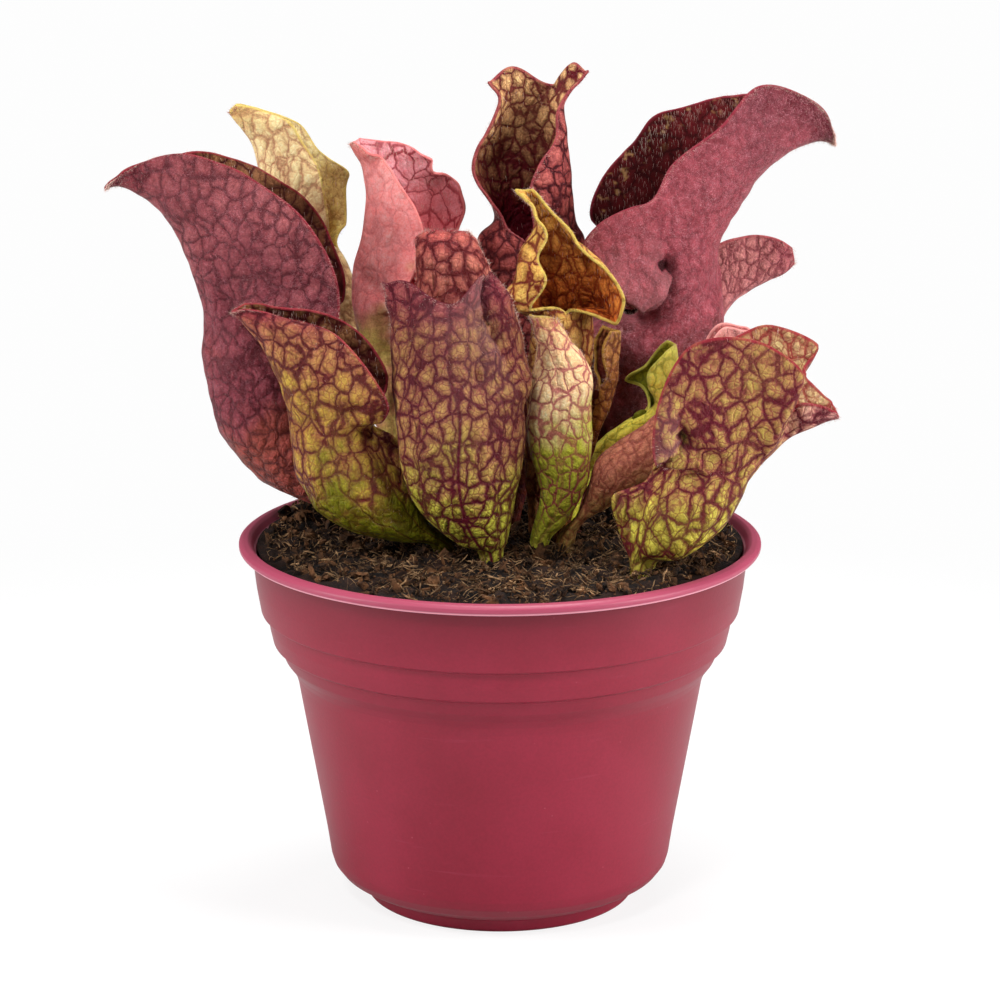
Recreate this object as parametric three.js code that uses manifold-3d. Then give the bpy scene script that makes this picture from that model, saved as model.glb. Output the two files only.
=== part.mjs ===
// A purple pitcher plant in a round nursery pot.
// Units are millimetres, +Z is up, and the origin is the middle of the pot's flat underside.
import * as THREE from 'three';
import { mergeVertices } from 'three/addons/utils/BufferGeometryUtils.js';
import Module from 'manifold-3d';

const wasm = await Module();
wasm.setup();

// Driving dimensions
const POT_SIDES = 36;
const FLOOR_TOP = 2;
const DRAIN_HOLES = 6;
const DRAIN_RADIUS = 4;
const DRAIN_CIRCLE = 21;
const DRAIN_SIDES = 16;
const CUTTER_REACH = 1;
const SOIL_GAP = 0.35;
const SOIL_FLOOR = FLOOR_TOP + SOIL_GAP;
const SOIL_LEVEL = 84.2;
const SOIL_EDGE = 84.3;
const SOIL_EDGE_FLARE = 0.9;
const SOIL_ROUGHNESS = 0.45;
const SOIL_WAVES = { x: 0.41, xShift: 1.3, y: 0.37, slant: 0.29, slantShift: 0.7 };
const SOIL_RINGS = [10, 21, 32, 42, 51];
const ROOT_BOTTOM = 74;
const ROOT_TOP = 85.6;
const ROOT_CLEARANCE = 0.6;
const ROOT_SIDES = 12;
const ROOT_HOLE_TOP = 96;
const LEAF_THICKNESS = 0.8;
const LEAF_COLUMNS = 12;
const HOLLOW_ROWS = 3;
const RIPPLE_PACE = 2.4;
const MARGIN_POWER = 6;
const CREST_POWER = 6;
const LEAST_HALF_WIDTH = 0.05;
const KEEL_VALUE = 13;
const WELD_DISTANCE = 1e-4;

// Colours and roughness
const POT_COLOUR = 0xa83a58;
const POT_ROUGHNESS = 0.42;
const SOIL_COLOUR = 0x2a1a12;
const SOIL_ROUGH_LOOK = 0.95;
const LEAF_ROUGHNESS = 0.5;

// Outside of the pot, from its foot to its lip, as radius and height
const POT_OUTSIDE = [
  [30.8, 0], [31.3, 0.6], [32, 3.2], [35, 4.4], [37.5, 6], [39, 8], [39.6, 10], [40.5, 16],
  [45.7, 45.6], [47, 53.4], [48.1, 55.3], [50, 57.4], [51.5, 60.2], [52.2, 61.5], [53.5, 65.3],
  [54.7, 67.7], [56.1, 74.6], [57, 82.5], [59.4, 83], [60, 83.7], [60, 84.6], [59.2, 85.2], [57.9, 85.4],
];

// Inside of the pot, from its lip to its floor
const POT_INSIDE = [
  [57.2, 84.9], [55.8, 82.4], [54.9, 74.6], [50.9, 61.2], [45.8, 53.4], [39.3, 16], [38.2, 9],
  [36, 6.4], [31, 4], [29, FLOOR_TOP],
];

// Heaps in the soil, as x, y, height and radius
const SOIL_HEAPS = [
  [-44, 24, 4.2, 11],
  [47, 14, 3.4, 12],
  [-30, -36, 1, 12],
  [6, -44, 0.8, 10],
];

// Pitcher leaves. Each faces the compass angle "face", in degrees from +X.
// "root" is the place of its stalk in the soil: x, y and radius.
// A tube row is a ring: the back point x y z, the front point x y z, half its width, and how far
// the thin keel down its front stands out, where it has one.
// A hood row is an open band: the back point, the left and right margin points, and how far
// round each side wraps, in degrees, with the right side's last where it differs.
const PITCHERS = [
  {
    name: 'pitcher_left_tall', face: 0, root: [-21, 6, 2.5], colour: 0x7d3346, hoodSteps: 2, ripple: 0.9,
    tube: [
      [-36, 8, 88, -28, 8, 96, 6.5],
      [-50, 12, 93, -38, 12, 106, 11.5],
      [-60, 14, 99.5, -42, 14, 113, 13.5],
      [-66, 14, 109, -42, 14, 118, 13.5],
      [-68, 14, 119, -43, 14, 124, 12.5],
      [-68.6, 14, 127, -45, 14, 129, 11],
    ],
    hood: [
      [-68.5, 14, 133, -40, 26, 132, -40, 3, 132, 115],
      [-69, 14, 138, -37, 27, 135, -37, 2, 136, 105],
      [-70.5, 14, 144, -36.5, 28, 141, -37, 2, 143.5, 95],
      [-73, 14, 150, -39.5, 28, 149, -40, 2, 151.5, 88],
      [-76, 14, 155.5, -43.5, 27, 157, -45, 3, 159, 85],
      [-80, 14, 160, -50, 26, 163, -53.5, 4, 165.5, 80],
      [-83.5, 14, 162.3, -60, 24, 168, -62, 6, 170, 75],
      [-86.5, 14, 163.4, -71, 21, 171, -73, 8, 172.5, 70],
      [-88, 14, 163.6, -83, 18.5, 168, -83.5, 9.5, 169, 62],
      [-90, 14, 163, -89.3, 16.5, 164.5, -89.3, 11.5, 165, 50],
    ],
  },
  {
    name: 'pitcher_left_low', face: 0, root: [-13, -11.5, 2.5], colour: 0x8a7a3c, hoodSteps: 1, ripple: 0.6,
    tube: [
      [-24, -12, 87.5, -16, -12, 91.5, 6.5],
      [-34, -12, 90, -19, -12, 98, 10.5],
      [-41, -12, 94.5, -22, -12, 103, 12, 1.5],
      [-45, -12, 101, -24.5, -12, 106.5, 11.5, 3],
      [-46.5, -12, 107.5, -26.5, -12, 111, 10.3, 3],
      [-47.3, -12, 113, -28.5, -12, 114, 9.3],
    ],
    hood: [
      [-48.3, -12, 118.5, -27, -3.5, 117.5, -26.3, -20.3, 116, 120],
      [-49.8, -12, 124, -26, -2, 120.5, -24.8, -21.5, 120.3, 102],
      [-52, -12, 129, -26, -2, 125, -26.5, -22, 124.5, 95],
      [-54.5, -12, 133.5, -30.5, -3, 132, -31.5, -21.5, 131.5, 88],
      [-57, -12, 137, -39, -5, 138, -38, -20, 137.5, 80],
      [-58.8, -12, 139, -49, -7, 140.5, -48, -17, 140, 70],
      [-59.8, -12, 140, -57, -9.5, 141.5, -57, -14.5, 141.2, 60],
    ],
  },
  {
    name: 'pitcher_front', face: 90, root: [-2, -18, 2.8], colour: 0x86603f, hoodSteps: 1, ripple: 0.5,
    crest: 3.5,
    tube: [
      [-4.5, -23, 88.5, -4, -12, 89, 6],
      [-7.5, -27, 95, -7, -8, 94, 10],
      [-9, -29, 103, -8, -7.5, 101, 12.7],
      [-9.2, -29.5, 110, -8.5, -7.5, 108, 13.9],
      [-8.8, -28.8, 117, -8.3, -8, 115, 14.2],
      [-9.2, -28, 122, -8.8, -9, 119, 14.3],
    ],
    hood: [
      [-10.8, -26.5, 126.5, -22, -10, 124, 4, -9.5, 124, 125],
      [-11, -26, 131, -24, -12, 130, 5, -11.5, 130, 105],
      [-11, -25.5, 136, -24.5, -14, 136.5, 5, -13, 136, 92],
      [-11, -25, 140.5, -25, -16, 142, 2.5, -16, 143, 82],
      [-10.9, -24.5, 144, -26.5, -18, 147.5, -1.5, -18, 150.5, 75],
    ],
  },
  {
    name: 'pitcher_behind_front', face: 90, root: [-6, -3, 2.4], colour: 0x8b5a45, hoodSteps: 1, ripple: 0.4,
    tube: [
      [-8, -5, 95, -8, 4, 94, 5.5],
      [-10, -5.5, 108, -10, 6, 107, 7.5],
      [-11, -5, 120, -11, 7, 119, 8],
      [-11.5, -4.5, 130, -11, 7, 129, 7],
    ],
    hood: [
      [-11.8, -4, 137, -18.5, 4, 135, -4, 4, 135, 125],
      [-12, -4, 143.5, -18.5, 4, 142, -1.5, 3.5, 141, 105],
      [-12, -3, 149, -19, 3, 149, -2, 3, 148, 95],
      [-12, -1, 153.5, -19, 2.5, 153.5, -5, 3, 153, 85],
      [-12, 2, 156, -17, 3, 155.5, -7, 3.5, 155.5, 80],
    ],
  },
  {
    name: 'pitcher_pink', face: -25, root: [-13, 9, 2.4], colour: 0xc9666f, hoodSteps: 2, ripple: 0.8,
    tube: [
      [-21, 12, 98, -15, 9, 99, 5],
      [-27, 16, 112, -18, 12, 113, 6.5],
      [-31, 18, 123, -21, 14, 125, 6.8],
      [-33, 19, 131, -22, 14, 134, 6.8],
    ],
    hood: [
      [-34, 20, 137, -16, 24, 141, -24, 9, 136, 125],
      [-33.5, 20.5, 144, -11.5, 27, 148, -19.5, 9, 145, 105],
      [-31.8, 21, 152, -8, 28.5, 155, -18, 9.5, 154, 95],
      [-30.8, 21.5, 160, -9.5, 28, 161.5, -21, 11, 162, 90],
      [-31.2, 21.5, 165, -15.3, 26.8, 165.5, -24.7, 13.3, 167, 82],
      [-31.9, 21.5, 167.8, -16, 26.5, 169.5, -27.3, 14.6, 169.6, 75],
      [-33, 21.5, 170, -24, 25.5, 172, -30, 15.5, 171.5, 65],
      [-34.5, 21.5, 172.5, -32.3, 24.3, 173.5, -33.6, 18.8, 173.5, 55],
    ],
  },
  {
    name: 'pitcher_yellow', face: 10, root: [-12, 19, 2.4], colour: 0xc9b45f, hoodSteps: 1, ripple: 0.7,
    tube: [
      [-22, 28, 98, -16, 30, 100, 5.5],
      [-33, 36, 113, -24, 38, 116, 7],
      [-43, 40, 128, -32, 41, 131, 7.5],
      [-50, 41, 142, -38, 42, 144, 7],
    ],
    hood: [
      [-53, 41, 148.5, -37, 49, 148.5, -40, 33, 148.5, 120],
      [-55.5, 41, 156.5, -37, 50, 157.5, -41, 32.5, 156.5, 100],
      [-57, 41, 163.5, -36.5, 49, 162.5, -42.5, 33, 165.5, 90],
      [-58.5, 41, 169.5, -43, 47, 167, -46, 35, 170.5, 85],
      [-60.5, 41, 173, -48, 46, 174, -50, 36, 176, 75],
      [-62.8, 41, 175.5, -57, 44.5, 177.5, -57.5, 37.5, 178.5, 60],
      [-63.8, 41, 177, -62, 43.2, 178.8, -62, 38.8, 179, 50],
    ],
  },
  {
    name: 'pitcher_back_tall', face: -90, root: [2, 15, 2.8], colour: 0x6e2734, hoodSteps: 2, ripple: 0.5,
    crest: 4,
    tube: [
      [3, 24, 98, 3, 13.5, 98, 6],
      [5, 30, 113, 5, 16, 112, 9],
      [7, 34, 128, 6, 18, 127, 11.5],
      [8, 36, 140, 6.5, 19, 140, 12.5],
      [8, 36, 148, 6, 20, 150, 12.5],
    ],
    hood: [
      [6, 35.5, 154, 8, 20, 153, 0, 22, 154.5, 170, 125],
      [5, 35, 161, 7, 19, 162, -3.5, 22, 161, 170, 105],
      [5.5, 34.5, 168, 9.5, 19, 168.5, -6.5, 24, 168, 158, 95],
      [6, 34, 175, 13.5, 22, 174, -3.5, 25, 174.5, 128, 88],
      [7.5, 33.5, 180.5, 13.5, 25, 181, -0.5, 27, 181, 125, 80],
      [12, 33, 184.8, 20.5, 27, 188.5, -3, 27.5, 185.8, 60, 70],
    ],
  },
  {
    name: 'pitcher_orange', face: -70, root: [9, 7.5, 2.4], colour: 0xa9893f, hoodSteps: 1, ripple: 0.6,
    tube: [
      [10.5, 11, 98, 11, 4, 98, 5],
      [12, 12, 113, 13, 2, 112, 7],
      [13, 13, 125, 14.5, 1, 125, 8],
      [13, 12.5, 133, 15, 1, 137, 8],
    ],
    hood: [
      [12.5, 11, 139, 26, 0.5, 134, 7, -2, 138.3, 120, 140],
      [11.5, 10, 145, 27.3, -1, 140, 10.3, -2, 145, 100, 150],
      [10.5, 9.5, 151, 24.8, 0, 147, 8.5, 0, 150.5, 95, 140],
      [10, 9.5, 156, 18.5, 2, 152, 10.5, 2, 155, 90, 140],
      [9, 9.5, 160, 14, 4.8, 157.8, 8, 4, 159.5, 80, 105],
      [7, 9.5, 162.2, 11.2, 7.3, 161.4, 5.3, 5.5, 162, 65, 85],
      [5, 9, 164, 7.6, 8.6, 164.4, 3.3, 7, 164.2, 50, 60],
    ],
  },
  {
    name: 'pitcher_narrow_green', face: 90, root: [9, -8, 2.2], colour: 0x8f9a49, hoodSteps: 1, ripple: 0.3,
    tube: [
      [11.5, -12, 91, 12, -5, 91, 4],
      [14, -14, 99, 14.5, -4, 98, 5],
      [13.5, -15.5, 107, 14, -3, 106, 6.8],
      [13.3, -15.5, 114, 13.5, -3, 113, 7.5],
      [13.5, -14.5, 120, 14, -4, 119, 7],
    ],
    hood: [
      [13, -13, 125, 7.5, -6, 123.5, 19.5, -5, 124.5, 120],
      [12.2, -12, 130, 8.3, -7, 130, 17.5, -6, 130, 100],
      [10.8, -11, 135, 7.5, -8, 136, 14.5, -7.5, 135, 85],
      [9.5, -10, 138.5, 6.5, -9, 138.5, 12.5, -9, 137.5, 70],
    ],
  },
  {
    name: 'pitcher_right_tall', face: 180, root: [17, 13, 2.8], colour: 0x84404f, hoodSteps: 2, ripple: 0.9,
    tube: [
      [27, 18, 92, 18.2, 19, 98, 6],
      [38, 23, 101, 19, 24, 109, 11.5],
      [47, 25.5, 113, 19.3, 26.5, 118, 14.5],
      [51.5, 26, 124, 20, 27.5, 125.5, 15.5],
      [52.3, 26, 132.5, 24.5, 28, 128, 14.3],
      [51.5, 26, 140.5, 30, 28, 130.5, 12.8],
    ],
    hood: [
      [51, 26, 147, 32.5, 12.5, 136.8, 33, 40, 139, 115],
      [52, 26, 151, 27.5, 10.5, 137.5, 29, 42, 146, 98, 110],
      [54.5, 26, 155.5, 18.8, 10.5, 147.5, 21.5, 43, 152, 92, 100],
      [57.5, 26, 160, 23, 11, 156, 24.5, 43, 161.5, 88, 95],
      [61, 26, 164.5, 34.5, 12.5, 161, 31.3, 42, 169.5, 85, 90],
      [65, 26, 168.5, 40, 13.5, 169.5, 36.5, 41, 176.5, 80, 85],
      [69.5, 26, 171.5, 50, 15.5, 177, 46.5, 39, 179.3, 75, 80],
      [73.5, 26, 172.8, 59.5, 19, 186.2, 58, 33, 183, 70, 75],
      [76.3, 26, 172.6, 72, 20.5, 182.5, 71, 31, 182, 65, 70],
      [77.5, 26, 172.3, 77, 23.5, 175, 76.8, 28.5, 175, 55],
    ],
  },
  {
    name: 'pitcher_right_back', face: 180, root: [11, 25, 2.4], colour: 0x8f4657, hoodSteps: 1, ripple: 0.5,
    tube: [
      [26, 38, 93, 21, 40, 98, 5.5],
      [39, 48, 104, 30, 49, 111, 7.5],
      [49, 53, 117, 37, 54, 122, 8.5],
      [54, 54, 126, 42, 55, 131, 7.5],
    ],
    hood: [
      [57, 54, 130, 46, 48, 137, 45, 62, 137, 115],
      [61, 54, 132.5, 52, 48, 144, 51, 61, 141, 95],
      [65, 54, 134.5, 59, 49, 146, 58.5, 60, 142, 80],
      [68.5, 54, 136.5, 65.5, 50, 145.5, 65, 58, 141.5, 65],
      [70.8, 54, 138.8, 70, 52, 143, 70, 56, 141, 55],
    ],
  },
  {
    name: 'pitcher_right_front', face: 180, root: [32, -25, 3], colour: 0x9a9448, hoodSteps: 2, ripple: 0.6,
    tube: [
      [41, -26, 87.5, 29.5, -25, 92, 8, 3.5],
      [49, -26, 93.5, 31.5, -25, 99, 10.5, 7],
      [53, -26, 100, 35, -25, 104, 10, 2.5],
      [54.5, -26, 104.5, 38.5, -25, 108, 8.5, 4],
    ],
    hood: [
      [55.4, -26, 105.9, 38.5, -32.5, 109.3, 40, -17, 110.5, 120],
      [56.2, -26, 107, 34, -35, 112.3, 39, -15, 120, 95, 105],
      [56.8, -26, 107.8, 34.5, -37, 124, 43, -14.5, 129, 88, 95],
      [57.4, -26, 108.6, 41, -37.5, 137, 51, -15, 134, 82, 90],
      [58, -26, 109.3, 54, -37.5, 139, 60.5, -15, 137.3, 78, 86],
      [58.8, -26, 110.2, 66, -36.5, 131, 71, -16, 133, 75, 83],
      [62.8, -26, 113.3, 63.5, -29, 122.6, 67.5, -20.3, 128, 72, 80],
      [67.4, -26, 116.3, 66.8, -30, 123, 69.8, -21.3, 125, 68, 75],
      [71.5, -26, 118.3, 70.5, -29.8, 122.3, 72.3, -22, 122.6, 62, 68],
      [74.7, -26, 119, 74.2, -28.3, 120.7, 74.2, -23.7, 120.7, 55],
    ],
  },
  {
    name: 'pitcher_small_green', face: -165, root: [15.5, 4, 1.8], colour: 0x86a83c, hoodSteps: 1,
    ripple: 0.2,
    tube: [
      [20.5, 5.5, 96.5, 17.5, 3, 99, 2.2],
      [26, 6, 103, 22.5, 3.3, 106, 2.8],
      [32.5, 6.3, 108.5, 28.5, 4, 111, 3.6],
      [38, 6, 112.5, 33.5, 4, 114, 4],
    ],
    hood: [
      [40, 5.5, 116.5, 35.3, 1.4, 117, 32.3, 8.2, 118, 115],
      [41, 5.5, 120, 34, 0.8, 120, 28.8, 8.8, 120, 115],
      [41.5, 5.5, 124, 34, 0.8, 123.5, 33.2, 8.8, 123.6, 110],
      [41, 5.5, 127, 37, 1.6, 127, 36, 8, 127.3, 100],
      [40.5, 5.5, 129, 39.5, 3.7, 129, 38.3, 7, 129.6, 80],
    ],
  },
  {
    name: 'pitcher_red_brown', face: 180, root: [15, -6, 2.2], colour: 0xa2565a, hoodSteps: 1, ripple: 0.3,
    tube: [
      [19, -6.8, 90, 17.3, -6.8, 92, 2.4],
      [24.5, -7, 93.5, 20.4, -7, 98.5, 3.6],
      [30.5, -7.3, 97.5, 22.2, -7.3, 105, 5],
      [36, -7, 101, 27, -7, 109.5, 5.2],
      [41, -6.5, 106, 33.5, -6.5, 113.5, 5],
      [46.5, -5, 117, 41, -5.5, 120, 4.5],
    ],
    hood: [
      [49.5, -4, 125.5, 45.5, -8, 127.5, 45, 0.5, 127, 110],
      [53, -3.5, 130.5, 50, -6.5, 134.8, 49.5, 0.2, 134.5, 90],
      [57.5, -3, 132.5, 56, -5.5, 134, 56, -0.5, 134, 60],
    ],
  },
  {
    name: 'pitcher_rolled', face: -150, root: [14, -1.5, 1.6], colour: 0x8a5a3a, hoodSteps: 1, ripple: 0.2,
    tube: [
      [20, 0, 101, 18, -1.6, 102, 1.6],
      [22.8, -0.6, 112, 20.6, -2.2, 113, 2.4],
      [25.2, -1.2, 119.5, 22.2, -3, 120.5, 2.8],
    ],
    hood: [
      [26.5, -1.2, 125, 24.2, -5.8, 124, 21, 1.4, 124, 115],
      [27.2, -1.2, 130, 23.4, -5.8, 130, 21.4, 1.8, 130.5, 100],
      [27.3, -1.6, 133.5, 25.2, -5, 133.8, 23.2, 1.2, 134.3, 80],
    ],
  },
];

// Closed solids and their joins
function solidFrom(geometry) {
  geometry.deleteAttribute('normal');
  geometry.deleteAttribute('uv');
  const merged = mergeVertices(geometry, WELD_DISTANCE);
  const vertProperties = new Float32Array(merged.attributes.position.array);
  const triVerts = new Uint32Array(merged.index.array);
  return new wasm.Manifold(new wasm.Mesh({ numProp: 3, vertProperties, triVerts }));
}

function geometryFrom(solid) {
  const mesh = solid.getMesh();
  const geometry = new THREE.BufferGeometry();
  geometry.setAttribute('position', new THREE.BufferAttribute(mesh.vertProperties, 3));
  geometry.setIndex(new THREE.BufferAttribute(mesh.triVerts, 1));
  return geometry;
}

function uprightCylinder(x, y, radius, bottom, top, sides) {
  const geometry = new THREE.CylinderGeometry(radius, radius, top - bottom, sides);
  geometry.rotateX(Math.PI / 2);
  geometry.translate(x, y, (bottom + top) / 2);
  return solidFrom(geometry);
}

function withoutAll(body, cutters) {
  return cutters.reduce((rest, cutter) => rest.subtract(cutter), body);
}

function meshOf(name, geometry, colour, roughness) {
  const material = new THREE.MeshStandardMaterial({ color: colour, roughness, metalness: 0 });
  const mesh = new THREE.Mesh(geometry, material);
  mesh.name = name;
  return mesh;
}

// The pot is turned from one closed profile, with round drain holes clear of its centre
function pot() {
  const profile = [[0, 0], ...POT_OUTSIDE, ...POT_INSIDE, [0, FLOOR_TOP]];
  const points = profile.map(([radius, height]) => new THREE.Vector2(radius, height));
  const turned = new THREE.LatheGeometry(points, POT_SIDES);
  turned.rotateX(Math.PI / 2);
  const holes = Array.from({ length: DRAIN_HOLES }, (_, k) => {
    const angle = (k + 0.5) * 2 * Math.PI / DRAIN_HOLES;
    const x = DRAIN_CIRCLE * Math.cos(angle);
    const y = DRAIN_CIRCLE * Math.sin(angle);
    return uprightCylinder(x, y, DRAIN_RADIUS, -CUTTER_REACH, FLOOR_TOP + CUTTER_REACH, DRAIN_SIDES);
  });
  return meshOf('pot', geometryFrom(withoutAll(solidFrom(turned), holes)), POT_COLOUR, POT_ROUGHNESS);
}

// Soil height: a flat level, heaps, and a fine roughness of crossed waves
function soilHeight(x, y) {
  const wave = SOIL_WAVES;
  const crossed = Math.sin(wave.x * x + wave.xShift) * Math.cos(wave.y * y);
  const slanted = Math.sin(wave.slant * (x - y) + wave.slantShift);
  const heaps = SOIL_HEAPS.map(([cx, cy, height, radius]) => {
    const far = ((x - cx) ** 2 + (y - cy) ** 2) / radius ** 2;
    return height * Math.exp(-far);
  });
  return SOIL_LEVEL + SOIL_ROUGHNESS * (crossed + slanted) + heaps.reduce((sum, h) => sum + h, 0);
}

// The soil fills the pot to just under its lip, and each stalk has a plain hole in it
function soil() {
  const wall = POT_INSIDE.slice(1).reverse().map(([r, z]) => [r - SOIL_GAP, z + SOIL_GAP]);
  const rim = wall[wall.length - 1][0];
  const rings = [...SOIL_RINGS].reverse();
  const positions = [];
  const index = [];
  const ring = (radius, heightAt) => {
    for (let k = 0; k < POT_SIDES; k += 1) {
      const angle = 2 * Math.PI * k / POT_SIDES;
      const x = radius * Math.sin(angle);
      const y = radius * Math.cos(angle);
      positions.push(x, y, heightAt(x, y));
    }
  };
  wall.forEach(([radius, height]) => ring(radius, () => height));
  ring(rim + SOIL_EDGE_FLARE, () => SOIL_EDGE);
  rings.forEach((radius) => ring(radius, soilHeight));
  const loops = wall.length + 1 + rings.length;
  for (let i = 0; i < loops - 1; i += 1) {
    for (let k = 0; k < POT_SIDES; k += 1) {
      const next = (k + 1) % POT_SIDES;
      const a = i * POT_SIDES + k;
      const b = i * POT_SIDES + next;
      const c = (i + 1) * POT_SIDES + next;
      const d = (i + 1) * POT_SIDES + k;
      index.push(a, c, b, a, d, c);
    }
  }
  const bottom = positions.length / 3;
  positions.push(0, 0, SOIL_FLOOR, 0, 0, soilHeight(0, 0));
  const last = (loops - 1) * POT_SIDES;
  for (let k = 0; k < POT_SIDES; k += 1) {
    const next = (k + 1) % POT_SIDES;
    index.push(bottom, k, next, bottom + 1, last + next, last + k);
  }
  const body = closedGeometry(positions, index);
  const holes = PITCHERS.map(({ root: [x, y, radius] }) => (
    uprightCylinder(x, y, radius + ROOT_CLEARANCE, ROOT_BOTTOM - CUTTER_REACH, ROOT_HOLE_TOP, ROOT_SIDES)));
  return meshOf('soil', geometryFrom(withoutAll(solidFrom(body), holes)), SOIL_COLOUR, SOIL_ROUGH_LOOK);
}

// A geometry from a list of coordinates and triangles, turned outward if it was built inside out
function closedGeometry(positions, index) {
  let volume = 0;
  const corner = (k) => new THREE.Vector3().fromArray(positions, 3 * k);
  for (let k = 0; k < index.length; k += 3) {
    const [a, b, c] = [corner(index[k]), corner(index[k + 1]), corner(index[k + 2])];
    volume += a.dot(b.cross(c));
  }
  const faces = [...index];
  if (volume < 0) faces.reverse();
  const geometry = new THREE.BufferGeometry();
  geometry.setAttribute('position', new THREE.Float32BufferAttribute(positions, 3));
  geometry.setIndex(faces);
  return geometry;
}

// Rows between the given rows, on a smooth curve through each value
function smoothRows(rows, stepsAt) {
  const out = [];
  const beyond = (near, far) => near.map((value, c) => 2 * value - far[c]);
  for (let k = 0; k < rows.length - 1; k += 1) {
    const [from, to] = [rows[k], rows[k + 1]];
    const before = rows[k - 1] ?? beyond(from, to);
    const after = rows[k + 2] ?? beyond(to, from);
    for (let step = 0; step < stepsAt(k); step += 1) {
      const f = step / stepsAt(k);
      out.push(from.map((b, c) => {
        const d = to[c];
        const startSlope = (d - before[c]) / 2;
        const endSlope = (after[c] - b) / 2;
        return (2 * f ** 3 - 3 * f ** 2 + 1) * b + (f ** 3 - 2 * f ** 2 + f) * startSlope
          + (3 * f ** 2 - 2 * f ** 3) * d + (f ** 3 - f ** 2) * endSlope;
      }));
    }
  }
  out.push([...rows[rows.length - 1]]);
  return out;
}

// A row as 14 values: the back point, then for each side the forward reach, the width and the wrap,
// and last how far the keel stands out
function tubeRow([x, y, z, fx, fy, fz, width, keel = 0]) {
  const side = [fx - x, fy - y, fz - z, width, 180];
  return [x, y, z, ...side, ...side, keel];
}

function hoodRow([x, y, z, lx, ly, lz, rx, ry, rz, wrap, wrapRight = wrap], across) {
  const side = (mx, my, mz, turn, sign) => {
    const sideways = (mx - x) * across[0] + (my - y) * across[1];
    const reach = [mx - x - sideways * across[0], my - y - sideways * across[1], mz - z];
    const half = Math.max(sideways * sign, LEAST_HALF_WIDTH);
    const width = turn > 90 ? half / Math.sin(THREE.MathUtils.degToRad(turn)) : half;
    return [...reach, width, turn];
  };
  return [x, y, z, ...side(lx, ly, lz, wrap, 1), ...side(rx, ry, rz, wrapRight, -1), 0];
}

// The stalk in the soil, as two rings one above the other
function rootRows([x, y, radius], face) {
  const angle = THREE.MathUtils.degToRad(face);
  const dx = radius * Math.cos(angle);
  const dy = radius * Math.sin(angle);
  return [ROOT_BOTTOM, ROOT_TOP].map((z) => tubeRow([x - dx, y - dy, z, x + dx, y + dy, z, radius]));
}

// One point of a row: s runs from -1 at the left margin through 0 at the back to 1 at the right
function sectionPoint(row, s, across) {
  const at = s < 0 ? 3 : 8;
  const wrap = THREE.MathUtils.degToRad(row[at + 4]);
  const turn = wrap * Math.abs(s);
  const widest = wrap < Math.PI / 2 ? Math.sin(wrap) : 1;
  const sideways = -Math.sign(s) * row[at + 3] * Math.sin(turn) / widest;
  const forward = (1 - Math.cos(turn)) / (1 - Math.cos(wrap));
  return new THREE.Vector3(
    row[0] + sideways * across[0] + forward * row[at],
    row[1] + sideways * across[1] + forward * row[at + 1],
    row[2] + forward * row[at + 2],
  );
}

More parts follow.
